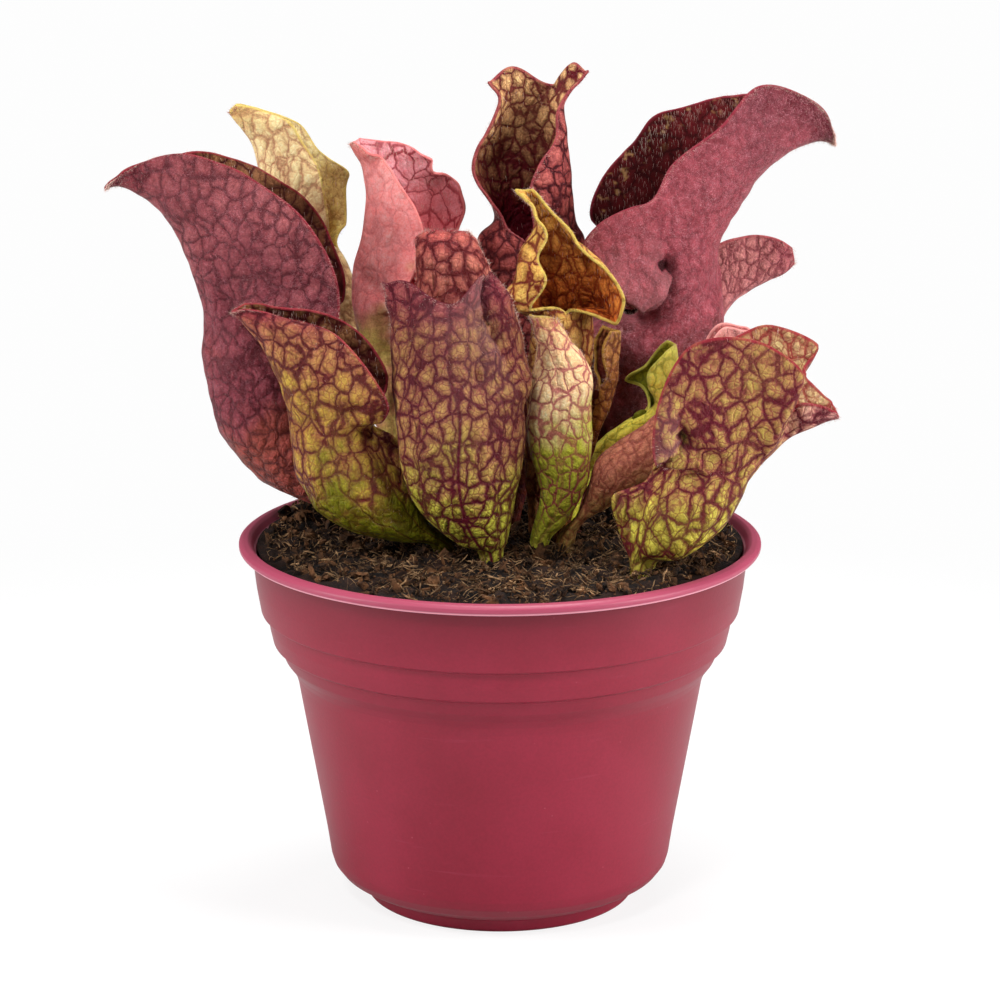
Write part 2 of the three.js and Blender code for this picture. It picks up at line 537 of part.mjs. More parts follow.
// A pitcher leaf: a closed tube that opens into a hood, with one thickness and a closed foot
function pitcher({ name, face, root, tube, hood, colour, hoodSteps, ripple, crest = 0 }) {
  const angle = THREE.MathUtils.degToRad(face);
  const across = [-Math.sin(angle), Math.cos(angle)];
  const given = [...rootRows(root, face), ...tube.map(tubeRow), ...hood.map((row) => hoodRow(row, across))];
  const mouth = tube.length + 1;
  const rows = smoothRows(given, (k) => (k < mouth ? 1 : hoodSteps));
  const top = rows.length - 1;
  const m = LEAF_COLUMNS;

  const outer = rows.map((row, i) => Array.from({ length: m + 1 }, (_, j) => {
    const s = 2 * j / m - 1;
    const point = sectionPoint(row, s, across);
    const risen = Math.max(0, (i - mouth) / (top - mouth));
    point.z += crest * risen ** CREST_POWER * Math.sin(Math.PI * Math.abs(s)) ** 2;
    return point;
  }));
  const closed = (i) => i <= mouth;
  const inward = (i, j) => {
    const up = outer[Math.min(i + 1, top)][j].clone().sub(outer[Math.max(i - 1, 0)][j]);
    const wraps = closed(i) && (j === 0 || j === m);
    const left = wraps ? outer[i][m - 1] : outer[i][Math.max(j - 1, 0)];
    const right = wraps ? outer[i][1] : outer[i][Math.min(j + 1, m)];
    return up.cross(right.clone().sub(left)).normalize();
  };
  const normals = rows.map((_, i) => Array.from({ length: m + 1 }, (__, j) => inward(i, j)));
  for (let i = mouth + 1; i <= top; i += 1) {
    const wave = Math.sin(RIPPLE_PACE * (i - mouth) / hoodSteps) * ripple * Math.min(1, (top - i) / 2);
    for (let j = 0; j <= m; j += 1) {
      const reach = Math.abs(2 * j / m - 1) ** MARGIN_POWER;
      outer[i][j].addScaledVector(normals[i][j], wave * reach);
    }
  }
  const inner = outer.map((points, i) => points.map((p, j) => (
    p.clone().addScaledVector(normals[i][j], LEAF_THICKNESS))));

  for (let i = 1; i <= mouth; i += 1) {
    const forward = new THREE.Vector3(...rows[i].slice(3, 6)).normalize();
    outer[i][0].addScaledVector(forward, rows[i][KEEL_VALUE]);
  }

  const positions = [];
  const index = [];
  const add = (p) => positions.push(p.x, p.y, p.z) / 3 - 1;
  const grid = (points, from) => points.map((line, i) => {
    if (i < from) return [];
    const ids = line.slice(0, closed(i) ? m : m + 1).map(add);
    return closed(i) ? [...ids, ids[0]] : ids;
  });
  const floor = Math.max(2, mouth - HOLLOW_ROWS);
  const outerIds = grid(outer, 0);
  const innerIds = grid(inner, floor);
  const skin = (ids, from, flip) => {
    for (let i = from; i < top; i += 1) {
      for (let j = 0; j < m; j += 1) {
        const [a, b, c, d] = [ids[i][j], ids[i][j + 1], ids[i + 1][j + 1], ids[i + 1][j]];
        if (flip) index.push(a, c, b, a, d, c);
        else index.push(a, b, c, a, c, d);
      }
    }
  };
  const cap = (ids, points, flip) => {
    const centre = points.slice(0, m).reduce((sum, p) => sum.add(p), new THREE.Vector3()).divideScalar(m);
    const middle = add(centre);
    for (let j = 0; j < m; j += 1) {
      if (flip) index.push(middle, ids[j], ids[j + 1]);
      else index.push(middle, ids[j + 1], ids[j]);
    }
  };
  skin(outerIds, 0, false);
  cap(outerIds[0], outer[0], false);
  skin(innerIds, floor, true);
  cap(innerIds[floor], inner[floor], true);

  const edge = [];
  for (let i = mouth; i <= top; i += 1) edge.push([i, 0]);
  for (let j = 1; j <= m; j += 1) edge.push([top, j]);
  for (let i = top - 1; i >= mouth; i -= 1) edge.push([i, m]);
  for (let k = 0; k < edge.length - 1; k += 1) {
    const [i, j] = edge[k];
    const [ni, nj] = edge[k + 1];
    const [a, b] = [outerIds[i][j], outerIds[ni][nj]];
    const [c, d] = [innerIds[ni][nj], innerIds[i][j]];
    index.push(a, b, c, a, c, d);
  }
  return meshOf(name, closedGeometry(positions, index), colour, LEAF_ROUGHNESS);
}

const plant = new THREE.Group();
plant.name = 'potted_pitcher_plant';
plant.add(pot(), soil(), ...PITCHERS.map(pitcher));

export default plant;
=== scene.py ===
"""A purple pitcher plant in a round nursery pot: leaves with veins and down, the pot, and its peat.

Shapes are written in millimetres and put into the meshes in metres. +Z is up.
"""
import math

import bpy
import numpy as np
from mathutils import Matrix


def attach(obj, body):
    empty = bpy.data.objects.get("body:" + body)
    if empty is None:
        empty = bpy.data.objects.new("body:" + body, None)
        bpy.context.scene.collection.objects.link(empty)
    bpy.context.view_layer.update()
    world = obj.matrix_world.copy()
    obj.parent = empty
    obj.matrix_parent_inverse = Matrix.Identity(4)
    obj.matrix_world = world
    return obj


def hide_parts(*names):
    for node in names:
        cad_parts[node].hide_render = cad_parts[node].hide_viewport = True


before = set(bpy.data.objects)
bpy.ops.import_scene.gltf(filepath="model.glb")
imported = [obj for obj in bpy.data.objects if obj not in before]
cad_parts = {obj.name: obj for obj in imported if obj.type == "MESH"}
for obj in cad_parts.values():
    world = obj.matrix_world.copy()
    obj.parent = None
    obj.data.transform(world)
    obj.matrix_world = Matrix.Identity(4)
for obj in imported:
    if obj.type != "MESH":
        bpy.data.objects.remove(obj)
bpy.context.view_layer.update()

MM = 0.001
RANDOM_SEED = 4127
# leaf sizes in mm: the wall, how far its rim is rounded out, where a stalk starts and meets the
# peat, where the colours and the unevenness start, the width of a flap's step, the size and height
# of the unevenness, and values for the points that close the foot and the hollow
LEAF_THICKNESS = 0.7
RIM_ROUND = 0.3
ROOT_BOTTOM = 74.0
ROOT_TOP = 85.6
COLOUR_START = 86.0
UNEVEN_START = 88.0
FLAP_EDGE = 0.6
SWELL_SIZE = 17.0
SWELL_HEIGHT = 0.35
STALK_HALF_GIRTH = 10.0
FAR_FROM_MARGIN = 40.0
# twice the smallest area of a triangle, in square mm
SLIVER = 1e-7
# faces across a leaf and from row to row, how wide the keel is as a share of half the leaf, and how
# fast the margins ripple and how steeply the ripple and the crest fade
LEAF_GRID = (68, 9)
KEEL_WIDTH = 0.035
RIPPLE_PACE = 2.4
FINE_RIPPLE_PACE = 5.3
MARGIN_POWER = 6
CREST_POWER = 6
# floor, pot and peat, and where the hairs start, in mm
FLOOR_REACH = 4000.0
POT_SIDES = 144
CORNER_EASE = 0.25
DRAIN_HOLES = 6
DRAIN_CIRCLE = 21.0
DRAIN_RADIUS = 4.0
SOIL_LEVEL = 84.2
PEAT_SIDES = 360
PEAT_RIM = 83.9
PEAT_REACH = 55.0
PEAT_GAP = 0.35
CRUMB_REACH = 54.0
FIBRE_START_REACH = 53.5
FIBRE_REACH = 54.5
HAIR_START = 92.0


# leaves
# "face" is the way the mouth looks, in degrees from +X towards +Y. "root" is the stalk: x, y, radius.
# A tube row is a ring: back point, front point, half width, and the keel where it has one.
# A hood row is an open band: back point, left margin, right margin, and how far the sides wrap in
# degrees, as one number or as one for each side.
# A fold is a soft valley along a line on the near side of the leaf: both ends as x and z, its
# width, its depth, and the y that the near side lies under. A negative depth is a ridge.
# A flap is a low step along a line of x and z points on the near side: its left side, going along
# the line, stands out by the height and falls away over the reach; the last value is the y again.
# "ripple" is how far the margins wave, and "crest" how far the top rises between its middle and its
# margins. "grid" stands in for LEAF_GRID. "down" and "mouth" multiply the number of hairs outside
# and in the mouth. "look" names the colours.
LEAVES = {
    "pitcher_left_tall": dict(
        face=0, root=(-21, 6, 2.5), down=3, mouth=1.5, ripple=0.9, look="plum",
        folds=[((-62, 138), (-53, 129), 2.2, 1.6, 14), ((-66, 131), (-57, 133), 2.5, 0.8, 14),
               ((-50, 128), (-41, 133), 2, 0.9, 14)],
        tube=[
            (-36, 8, 88, -28, 8, 96, 6.5),
            (-50, 12, 93, -38, 12, 106, 11.5),
            (-60, 14, 99.5, -42, 14, 113, 13.5),
            (-66, 14, 109, -42, 14, 118, 13.5),
            (-68, 14, 119, -43, 14, 124, 12.5),
            (-68.6, 14, 127, -45, 14, 129, 11),
        ],
        hood=[
            (-68.5, 14, 133, -40, 26, 132, -40, 3, 132, 115),
            (-69, 14, 138, -37, 27, 135, -37, 2, 136, 105),
            (-70.5, 14, 144, -36.5, 28, 141, -37, 2, 143.5, 95),
            (-73, 14, 150, -39.5, 28, 149, -40, 2, 151.5, 88),
            (-76, 14, 155.5, -43.5, 27, 157, -45, 3, 159, 85),
            (-80, 14, 160, -50, 26, 163, -53.5, 4, 165.5, 80),
            (-83.5, 14, 162.3, -60, 24, 168, -62, 6, 170, 75),
            (-86.5, 14, 163.4, -71, 21, 171, -73, 8, 172.5, 70),
            (-88, 14, 163.6, -83, 18.5, 168, -83.5, 9.5, 169, 62),
            (-90, 14, 163, -89.3, 16.5, 164.5, -89.3, 11.5, 165, 50),
        ]),
    "pitcher_left_low": dict(
        face=0, root=(-13, -11.5, 2.5), down=1.3, ripple=0.6, look="olive",
        folds=[((-45, 116), (-33, 119), 2, 0.9, -12), ((-42, 110), (-41, 96), 1.2, -0.4, -12)],
        tube=[
            (-24, -12, 87.5, -16, -12, 91.5, 6.5),
            (-34, -12, 90, -19, -12, 98, 10.5),
            (-41, -12, 94.5, -22, -12, 103, 12, 1.5),
            (-45, -12, 101, -24.5, -12, 106.5, 11.5, 3),
            (-46.5, -12, 107.5, -26.5, -12, 111, 10.3, 3),
            (-47.3, -12, 113, -28.5, -12, 114, 9.3),
        ],
        hood=[
            (-48.3, -12, 118.5, -27, -3.5, 117.5, -26.3, -20.3, 116, 120),
            (-49.8, -12, 124, -26, -2, 120.5, -24.8, -21.5, 120.3, 102),
            (-52, -12, 129, -26, -2, 125, -26.5, -22, 124.5, 95),
            (-54.5, -12, 133.5, -30.5, -3, 132, -31.5, -21.5, 131.5, 88),
            (-57, -12, 137, -39, -5, 138, -38, -20, 137.5, 80),
            (-58.8, -12, 139, -49, -7, 140.5, -48, -17, 140, 70),
            (-59.8, -12, 140, -57, -9.5, 141.5, -57, -14.5, 141.2, 60),
        ]),
    "pitcher_front": dict(
        face=90, root=(-2, -18, 2.8), down=1.6, ripple=0.5, crest=3.5, look="wine_olive",
        folds=[((-2.9, 150), (-4.4, 141), 1.6, 1.2, -14), ((-4.4, 141), (-4.6, 128), 1.6, 1.3, -14),
               ((-1.5, 137), (-1.5, 136), 1.7, 2.2, -14), ((-10.3, 145), (-9.5, 92), 0.9, 0.35, -14)],
        flaps=[(((-1, 136), (-3.3, 141.5), (-4, 145.5), (-2.9, 151)), 1.0, 6, -12)],
        tube=[
            (-4.5, -23, 88.5, -4, -12, 89, 6),
            (-7.5, -27, 95, -7, -8, 94, 10),
            (-9, -29, 103, -8, -7.5, 101, 12.7),
            (-9.2, -29.5, 110, -8.5, -7.5, 108, 13.9),
            (-8.8, -28.8, 117, -8.3, -8, 115, 14.2),
            (-9.2, -28, 122, -8.8, -9, 119, 14.3),
        ],
        hood=[
            (-10.8, -26.5, 126.5, -22, -10, 124, 4, -9.5, 124, 125),
            (-11, -26, 131, -24, -12, 130, 5, -11.5, 130, 105),
            (-11, -25.5, 136, -24.5, -14, 136.5, 5, -13, 136, 92),
            (-11, -25, 140.5, -25, -16, 142, 2.5, -16, 143, 82),
            (-10.9, -24.5, 144, -26.5, -18, 147.5, -1.5, -18, 150.5, 75),
        ]),
    "pitcher_behind_front": dict(
        face=90, root=(-6, -3, 2.4), down=1.6, ripple=0.4, look="crimson",
        tube=[
            (-8, -5, 95, -8, 4, 94, 5.5),
            (-10, -5.5, 108, -10, 6, 107, 7.5),
            (-11, -5, 120, -11, 7, 119, 8),
            (-11.5, -4.5, 130, -11, 7, 129, 7),
        ],
        hood=[
            (-11.8, -4, 137, -18.5, 4, 135, -4, 4, 135, 125),
            (-12, -4, 143.5, -18.5, 4, 142, -1.5, 3.5, 141, 105),
            (-12, -3, 149, -19, 3, 149, -2, 3, 148, 95),
            (-12, -1, 153.5, -19, 2.5, 153.5, -5, 3, 153, 85),
            (-12, 2, 156, -17, 3, 155.5, -7, 3.5, 155.5, 80),
        ]),
    "pitcher_pink": dict(
        face=-25, root=(-13, 9, 2.4), ripple=0.8, look="coral",
        folds=[((-31, 143), (-26, 140), 1.6, 1.2, 20), ((-27, 102), (-29, 116), 5, -2.4, 60)],
        tube=[
            (-21, 12, 98, -15, 9, 99, 5),
            (-27, 16, 112, -18, 12, 113, 6.5),
            (-31, 18, 123, -21, 14, 125, 6.8),
            (-33, 19, 131, -22, 14, 134, 6.8),
        ],
        hood=[
            (-34, 20, 137, -16, 24, 141, -24, 9, 136, 125),
            (-33.5, 20.5, 144, -11.5, 27, 148, -19.5, 9, 145, 105),
            (-31.8, 21, 152, -8, 28.5, 155, -18, 9.5, 154, 95),
            (-30.8, 21.5, 160, -9.5, 28, 161.5, -21, 11, 162, 90),
            (-31.2, 21.5, 165, -15.3, 26.8, 165.5, -24.7, 13.3, 167, 82),
            (-31.9, 21.5, 167.8, -16, 26.5, 169.5, -27.3, 14.6, 169.6, 75),
            (-33, 21.5, 170, -24, 25.5, 172, -30, 15.5, 171.5, 65),
            (-34.5, 21.5, 172.5, -32.3, 24.3, 173.5, -33.6, 18.8, 173.5, 55),
        ]),
    "pitcher_yellow": dict(
        face=10, root=(-12, 19, 2.4), ripple=0.7, look="straw",
        tube=[
            (-22, 28, 98, -16, 30, 100, 5.5),
            (-33, 36, 113, -24, 38, 116, 7),
            (-43, 40, 128, -32, 41, 131, 7.5),
            (-50, 41, 142, -38, 42, 144, 7),
        ],
        hood=[
            (-53, 41, 148.5, -37, 49, 148.5, -40, 33, 148.5, 120),
            (-55.5, 41, 156.5, -37, 50, 157.5, -41, 32.5, 156.5, 100),
            (-57, 41, 163.5, -36.5, 49, 162.5, -42.5, 33, 165.5, 90),
            (-58.5, 41, 169.5, -43, 47, 167, -46, 35, 170.5, 85),
            (-60.5, 41, 173, -48, 46, 174, -50, 36, 176, 75),
            (-62.8, 41, 175.5, -57, 44.5, 177.5, -57.5, 37.5, 178.5, 60),
            (-63.8, 41, 177, -62, 43.2, 178.8, -62, 38.8, 179, 50),
        ]),
    "pitcher_back_tall": dict(
        face=-90, root=(2, 15, 2.8), mouth=0.15, ripple=0.5, crest=4, look="dark_mouth",
        tube=[
            (3, 24, 98, 3, 13.5, 98, 6),
            (5, 30, 113, 5, 16, 112, 9),
            (7, 34, 128, 6, 18, 127, 11.5),
            (8, 36, 140, 6.5, 19, 140, 12.5),
            (8, 36, 148, 6, 20, 150, 12.5),
        ],
        hood=[
            (6, 35.5, 154, 8, 20, 153, 0, 22, 154.5, 170, 125),
            (5, 35, 161, 7, 19, 162, -3.5, 22, 161, 170, 105),
            (5.5, 34.5, 168, 9.5, 19, 168.5, -6.5, 24, 168, 158, 95),
            (6, 34, 175, 13.5, 22, 174, -3.5, 25, 174.5, 128, 88),
            (7.5, 33.5, 180.5, 13.5, 25, 181, -0.5, 27, 181, 125, 80),
            (12, 33, 184.8, 20.5, 27, 188.5, -3, 27.5, 185.8, 60, 70),
        ]),
    "pitcher_orange": dict(
        face=-70, root=(9, 7.5, 2.4), mouth=0.3, ripple=0.6, look="orange_mouth",
        tube=[
            (10.5, 11, 98, 11, 4, 98, 5),
            (12, 12, 113, 13, 2, 112, 7),
            (13, 13, 125, 14.5, 1, 125, 8),
            (13, 12.5, 133, 15, 1, 137, 8),
        ],
        hood=[
            (12.5, 11, 139, 26, 0.5, 134, 7, -2, 138.3, 120, 140),
            (11.5, 10, 145, 27.3, -1, 140, 10.3, -2, 145, 100, 150),
            (10.5, 9.5, 151, 24.8, 0, 147, 8.5, 0, 150.5, 95, 140),
            (10, 9.5, 156, 18.5, 2, 152, 10.5, 2, 155, 90, 140),
            (9, 9.5, 160, 14, 4.8, 157.8, 8, 4, 159.5, 80, 105),
            (7, 9.5, 162.2, 11.2, 7.3, 161.4, 5.3, 5.5, 162, 65, 85),
            (5, 9, 164, 7.6, 8.6, 164.4, 3.3, 7, 164.2, 50, 60),
        ]),
    "pitcher_narrow_green": dict(
        face=90, root=(9, -8, 2.2), ripple=0.3, look="green",
        tube=[
            (11.5, -12, 91, 12, -5, 91, 4),
            (14, -14, 99, 14.5, -4, 98, 5),
            (13.5, -15.5, 107, 14, -3, 106, 6.8),
            (13.3, -15.5, 114, 13.5, -3, 113, 7.5),
            (13.5, -14.5, 120, 14, -4, 119, 7),
        ],
        hood=[
            (13, -13, 125, 7.5, -6, 123.5, 19.5, -5, 124.5, 120),
            (12.2, -12, 130, 8.3, -7, 130, 17.5, -6, 130, 100),
            (10.8, -11, 135, 7.5, -8, 136, 14.5, -7.5, 135, 85),
            (9.5, -10, 138.5, 6.5, -9, 138.5, 12.5, -9, 137.5, 70),
        ]),
    "pitcher_right_tall": dict(
        face=180, root=(17, 13, 2.8), grid=(116, 13), down=6, mouth=7, ripple=0.9, look="rose",
        folds=[((37.6, 146.2), (38, 145.8), 2, 3.4, 26), ((38, 146), (39, 140), 1.5, 1.2, 26),
               ((40, 147), (50, 141), 3, 0.9, 26), ((22, 125), (29, 131), 4, -3.5, 60)],
        flaps=[(((25, 143), (29, 138), (34, 136), (38.4, 139.6), (39.6, 143.4), (38.6, 146)),
                1.9, 6, 24)],
        tube=[
            (27, 18, 92, 18.2, 19, 98, 6),
            (38, 23, 101, 19, 24, 109, 11.5),
            (47, 25.5, 113, 19.3, 26.5, 118, 14.5),
            (51.5, 26, 124, 20, 27.5, 125.5, 15.5),
            (52.3, 26, 132.5, 24.5, 28, 128, 14.3),
            (51.5, 26, 140.5, 30, 28, 130.5, 12.8),
        ],
        hood=[
            (51, 26, 147, 32.5, 12.5, 136.8, 33, 40, 139, 115),
            (52, 26, 151, 27.5, 10.5, 137.5, 29, 42, 146, 98, 110),
            (54.5, 26, 155.5, 18.8, 10.5, 147.5, 21.5, 43, 152, 92, 100),
            (57.5, 26, 160, 23, 11, 156, 24.5, 43, 161.5, 88, 95),
            (61, 26, 164.5, 34.5, 12.5, 161, 31.3, 42, 169.5, 85, 90),
            (65, 26, 168.5, 40, 13.5, 169.5, 36.5, 41, 176.5, 80, 85),
            (69.5, 26, 171.5, 50, 15.5, 177, 46.5, 39, 179.3, 75, 80),
            (73.5, 26, 172.8, 59.5, 19, 186.2, 58, 33, 183, 70, 75),
            (76.3, 26, 172.6, 72, 20.5, 182.5, 71, 31, 182, 65, 70),
            (77.5, 26, 172.3, 77, 23.5, 175, 76.8, 28.5, 175, 55),
        ]),
    "pitcher_right_back": dict(
        face=180, root=(11, 25, 2.4), ripple=0.5, look="rose_net",
        tube=[
            (26, 38, 93, 21, 40, 98, 5.5),
            (39, 48, 104, 30, 49, 111, 7.5),
            (49, 53, 117, 37, 54, 122, 8.5),
            (54, 54, 126, 42, 55, 131, 7.5),
        ],
        hood=[
            (57, 54, 130, 46, 48, 137, 45, 62, 137, 115),
            (61, 54, 132.5, 52, 48, 144, 51, 61, 141, 95),
            (65, 54, 134.5, 59, 49, 146, 58.5, 60, 142, 80),
            (68.5, 54, 136.5, 65.5, 50, 145.5, 65, 58, 141.5, 65),
            (70.8, 54, 138.8, 70, 52, 143, 70, 56, 141, 55),
        ]),
    "pitcher_right_front": dict(
        face=180, root=(32, -25, 3), ripple=0.6, look="lime_wine",
        folds=[((39.3, 117), (40, 116), 1.3, 2.6, -26), ((40, 116), (47, 111), 2, 0.9, -26)],
        flaps=[(((34, 110.5), (37.5, 112.5), (40, 115), (39.5, 117.5)), 1.2, 5, -26)],
        tube=[
            (41, -26, 87.5, 29.5, -25, 92, 8, 3.5),
            (49, -26, 93.5, 31.5, -25, 99, 10.5, 7),
            (53, -26, 100, 35, -25, 104, 10, 2.5),
            (54.5, -26, 104.5, 38.5, -25, 108, 8.5, 4),
        ],
        hood=[
            (55.4, -26, 105.9, 38.5, -32.5, 109.3, 40, -17, 110.5, 120),
            (56.2, -26, 107, 34, -35, 112.3, 39, -15, 120, 95, 105),
            (56.8, -26, 107.8, 34.5, -37, 124, 43, -14.5, 129, 88, 95),
            (57.4, -26, 108.6, 41, -37.5, 137, 51, -15, 134, 82, 90),
            (58, -26, 109.3, 54, -37.5, 139, 60.5, -15, 137.3, 78, 86),
            (58.8, -26, 110.2, 66, -36.5, 131, 71, -16, 133, 75, 83),
            (62.8, -26, 113.3, 63.5, -29, 122.6, 67.5, -20.3, 128, 72, 80),
            (67.4, -26, 116.3, 66.8, -30, 123, 69.8, -21.3, 125, 68, 75),
            (71.5, -26, 118.3, 70.5, -29.8, 122.3, 72.3, -22, 122.6, 62, 68),
            (74.7, -26, 119, 74.2, -28.3, 120.7, 74.2, -23.7, 120.7, 55),
        ]),
    "pitcher_small_green": dict(
        face=-165, root=(15.5, 4, 1.8), mouth=0, down=0.3, ripple=0.2, look="bright",
        tube=[
            (20.5, 5.5, 96.5, 17.5, 3, 99, 2.2),
            (26, 6, 103, 22.5, 3.3, 106, 2.8),
            (32.5, 6.3, 108.5, 28.5, 4, 111, 3.6),
            (38, 6, 112.5, 33.5, 4, 114, 4),
        ],
        hood=[
            (40, 5.5, 116.5, 35.3, 1.4, 117, 32.3, 8.2, 118, 115),
            (41, 5.5, 120, 34, 0.8, 120, 28.8, 8.8, 120, 115),
            (41.5, 5.5, 124, 34, 0.8, 123.5, 33.2, 8.8, 123.6, 110),
            (41, 5.5, 127, 37, 1.6, 127, 36, 8, 127.3, 100),
            (40.5, 5.5, 129, 39.5, 3.7, 129, 38.3, 7, 129.6, 80),
        ]),
    "pitcher_red_brown": dict(
        face=180, root=(15, -6, 2.2), ripple=0.3, look="blush",
        tube=[
            (19, -6.8, 90, 17.3, -6.8, 92, 2.4),
            (24.5, -7, 93.5, 20.4, -7, 98.5, 3.6),
            (30.5, -7.3, 97.5, 22.2, -7.3, 105, 5),
            (36, -7, 101, 27, -7, 109.5, 5.2),
            (41, -6.5, 106, 33.5, -6.5, 113.5, 5),
            (46.5, -5, 117, 41, -5.5, 120, 4.5),
        ],
        hood=[
            (49.5, -4, 125.5, 45.5, -8, 127.5, 45, 0.5, 127, 110),
            (53, -3.5, 130.5, 50, -6.5, 134.8, 49.5, 0.2, 134.5, 90),
            (57.5, -3, 132.5, 56, -5.5, 134, 56, -0.5, 134, 60),
        ]),
    "pitcher_rolled": dict(
        face=-150, root=(14, -1.5, 1.6), mouth=0, ripple=0.2, look="brown",
        tube=[
            (20, 0, 101, 18, -1.6, 102, 1.6),
            (22.8, -0.6, 112, 20.6, -2.2, 113, 2.4),
            (25.2, -1.2, 119.5, 22.2, -3, 120.5, 2.8),
        ],
        hood=[
            (26.5, -1.2, 125, 24.2, -5.8, 124, 21, 1.4, 124, 115),
            (27.2, -1.2, 130, 23.4, -5.8, 130, 21.4, 1.8, 130.5, 100),
            (27.3, -1.6, 133.5, 25.2, -5, 133.8, 23.2, 1.2, 134.3, 80),
        ]),
}


def srgb(text):
    """A colour written as six hex digits, as linear light."""
    values = [int(text[k:k + 2], 16) / 255 for k in (0, 2, 4)]
    return [v / 12.92 if v <= 0.04045 else ((v + 0.055) / 1.055) ** 2.4 for v in values]


# meshes
def mesh_piece(name, points, faces, uv=None, values=None, smooth=True):
    """A mesh object from points in millimetres and a list or array of faces of one size.

    uv is one pair a point, and values maps a name to one number a point.
    """
    points = np.asarray(points, dtype=np.float64) * MM
    faces = np.asarray(faces, dtype=np.int32)
    sides = faces.shape[1]
    mesh = bpy.data.meshes.new(name)
    mesh.vertices.add(len(points))
    mesh.vertices.foreach_set("co", points.ravel())
    mesh.loops.add(faces.size)
    mesh.loops.foreach_set("vertex_index", faces.ravel())
    mesh.polygons.add(len(faces))
    mesh.polygons.foreach_set("loop_start", np.arange(0, faces.size, sides, dtype=np.int32))
    mesh.update(calc_edges=True)
    mesh.polygons.foreach_set("use_smooth", np.full(len(faces), smooth))
    if uv is not None:
        layer = mesh.uv_layers.new(name="UVMap")
        layer.data.foreach_set("uv", np.asarray(uv, dtype=np.float32)[faces.ravel()].ravel())
    for key, numbers in (values or {}).items():
        layer = mesh.attributes.new(key, "FLOAT", "POINT")
        layer.data.foreach_set("value", np.asarray(numbers, dtype=np.float32))
    mesh.validate()
    piece = bpy.data.objects.new(name, mesh)
    bpy.context.scene.collection.objects.link(piece)
    return piece


def tube_faces(rows, sides):
    """Triangles of a grid of points whose every row closes on itself, two for each square."""
    i = np.arange(rows - 1)[:, None]
    j = np.arange(sides)[None, :]
    following = (j + 1) % sides
    squares = np.stack([i * sides + j, i * sides + following, (i + 1) * sides + following,
                        (i + 1) * sides + j], axis=-1).reshape(-1, 4)
    return np.concatenate([squares[:, [0, 1, 2]], squares[:, [0, 2, 3]]])


def closed_turning(rows, low_point, high_point):
    """A closed body from a grid of rings, with a fan of triangles from a middle point over each
    end: its points and its triangles."""
    count, sides = rows.shape[:2]
    around = np.arange(sides)
    following = (around + 1) % sides
    last = (count - 1) * sides
    low = np.full(sides, count * sides)
    points = np.vstack([rows.reshape(-1, 3), low_point, high_point])
    tris = np.concatenate([tube_faces(count, sides), np.stack([low, following, around], axis=-1),
                           np.stack([low + 1, last + around, last + following], axis=-1)])
    return points, tris


def cubic_rows(rows, steps):
    """Rows on a cubic curve through every given row, with each value's slope half the change
    from the row before to the row after, and mirrored ends."""
    rows = np.asarray(rows, dtype=np.float64)
    padded = np.vstack([2 * rows[0] - rows[1], rows, 2 * rows[-1] - rows[-2]])
    knots = np.arange(0, (len(rows) - 1) * steps + 1)
    k = np.minimum(knots // steps, len(rows) - 2)
    f = (knots / steps - k)[:, None]
    a, b, c, d = padded[k], padded[k + 1], padded[k + 2], padded[k + 3]
    return ((2 * f ** 3 - 3 * f ** 2 + 1) * b + (f ** 3 - 2 * f ** 2 + f) * (c - a) / 2
            + (3 * f ** 2 - 2 * f ** 3) * c + (f ** 3 - f ** 2) * (d - b) / 2)


def side_values(back, margin, across, wrap, sign):
    """One side of a hood row: forward reach x y z, half width and wrap. The width is that of the
    bulge, which is wider than the margins where the side wraps past a right angle."""
    sideways = (margin[0] - back[0]) * across[0] + (margin[1] - back[1]) * across[1]
    reach = (margin[0] - back[0] - sideways * across[0], margin[1] - back[1] - sideways * across[1],
             margin[2] - back[2])
    half = max(sideways * sign, 0.05)
    if wrap > 90:
        half /= math.sin(math.radians(wrap))
    return [*reach, half, wrap]


def leaf_rows(leaf, across):
    """The stalk, tube and hood rows as 14 values: back point, two sides of five, and the keel."""
    x, y, radius = leaf["root"]
    angle = math.radians(leaf["face"])
    dx, dy = radius * math.cos(angle), radius * math.sin(angle)
    tube = [(x - dx, y - dy, z, x + dx, y + dy, z, radius) for z in (ROOT_BOTTOM, ROOT_TOP)]
    rows = []
    for row in tube + leaf["tube"]:
        side = [row[3] - row[0], row[4] - row[1], row[5] - row[2], row[6], 180]
        rows.append([*row[:3], *side, *side, row[7] if len(row) > 7 else 0])
    for row in leaf["hood"]:
        left, right = row[9], row[-1]
        rows.append([*row[:3], *side_values(row, row[3:6], across, left, 1),
                     *side_values(row, row[6:9], across, right, -1), 0])
    return np.array(rows)


def unit(v):
    """Vectors at length one."""
    return v / np.maximum(np.linalg.norm(v, axis=-1, keepdims=True), 1e-9)


def swell(points, seed, size, octaves=3):
    """Soft noise from crossed sine waves at each point: a sum over octaves of the sine of the
    point along random directions, each octave twice as fine and half as strong."""
    draw = np.random.default_rng(seed)
    total = np.zeros(points.shape[:-1])
    for octave in range(octaves):
        for _ in range(4):
            direction = unit(draw.normal(size=3)) * 2 * math.pi / (size / 2 ** octave)
            wave = np.sin(points @ direction + draw.uniform(0, 2 * math.pi))
            total += wave / (4 * 2 ** octave) * 1.6
    return total


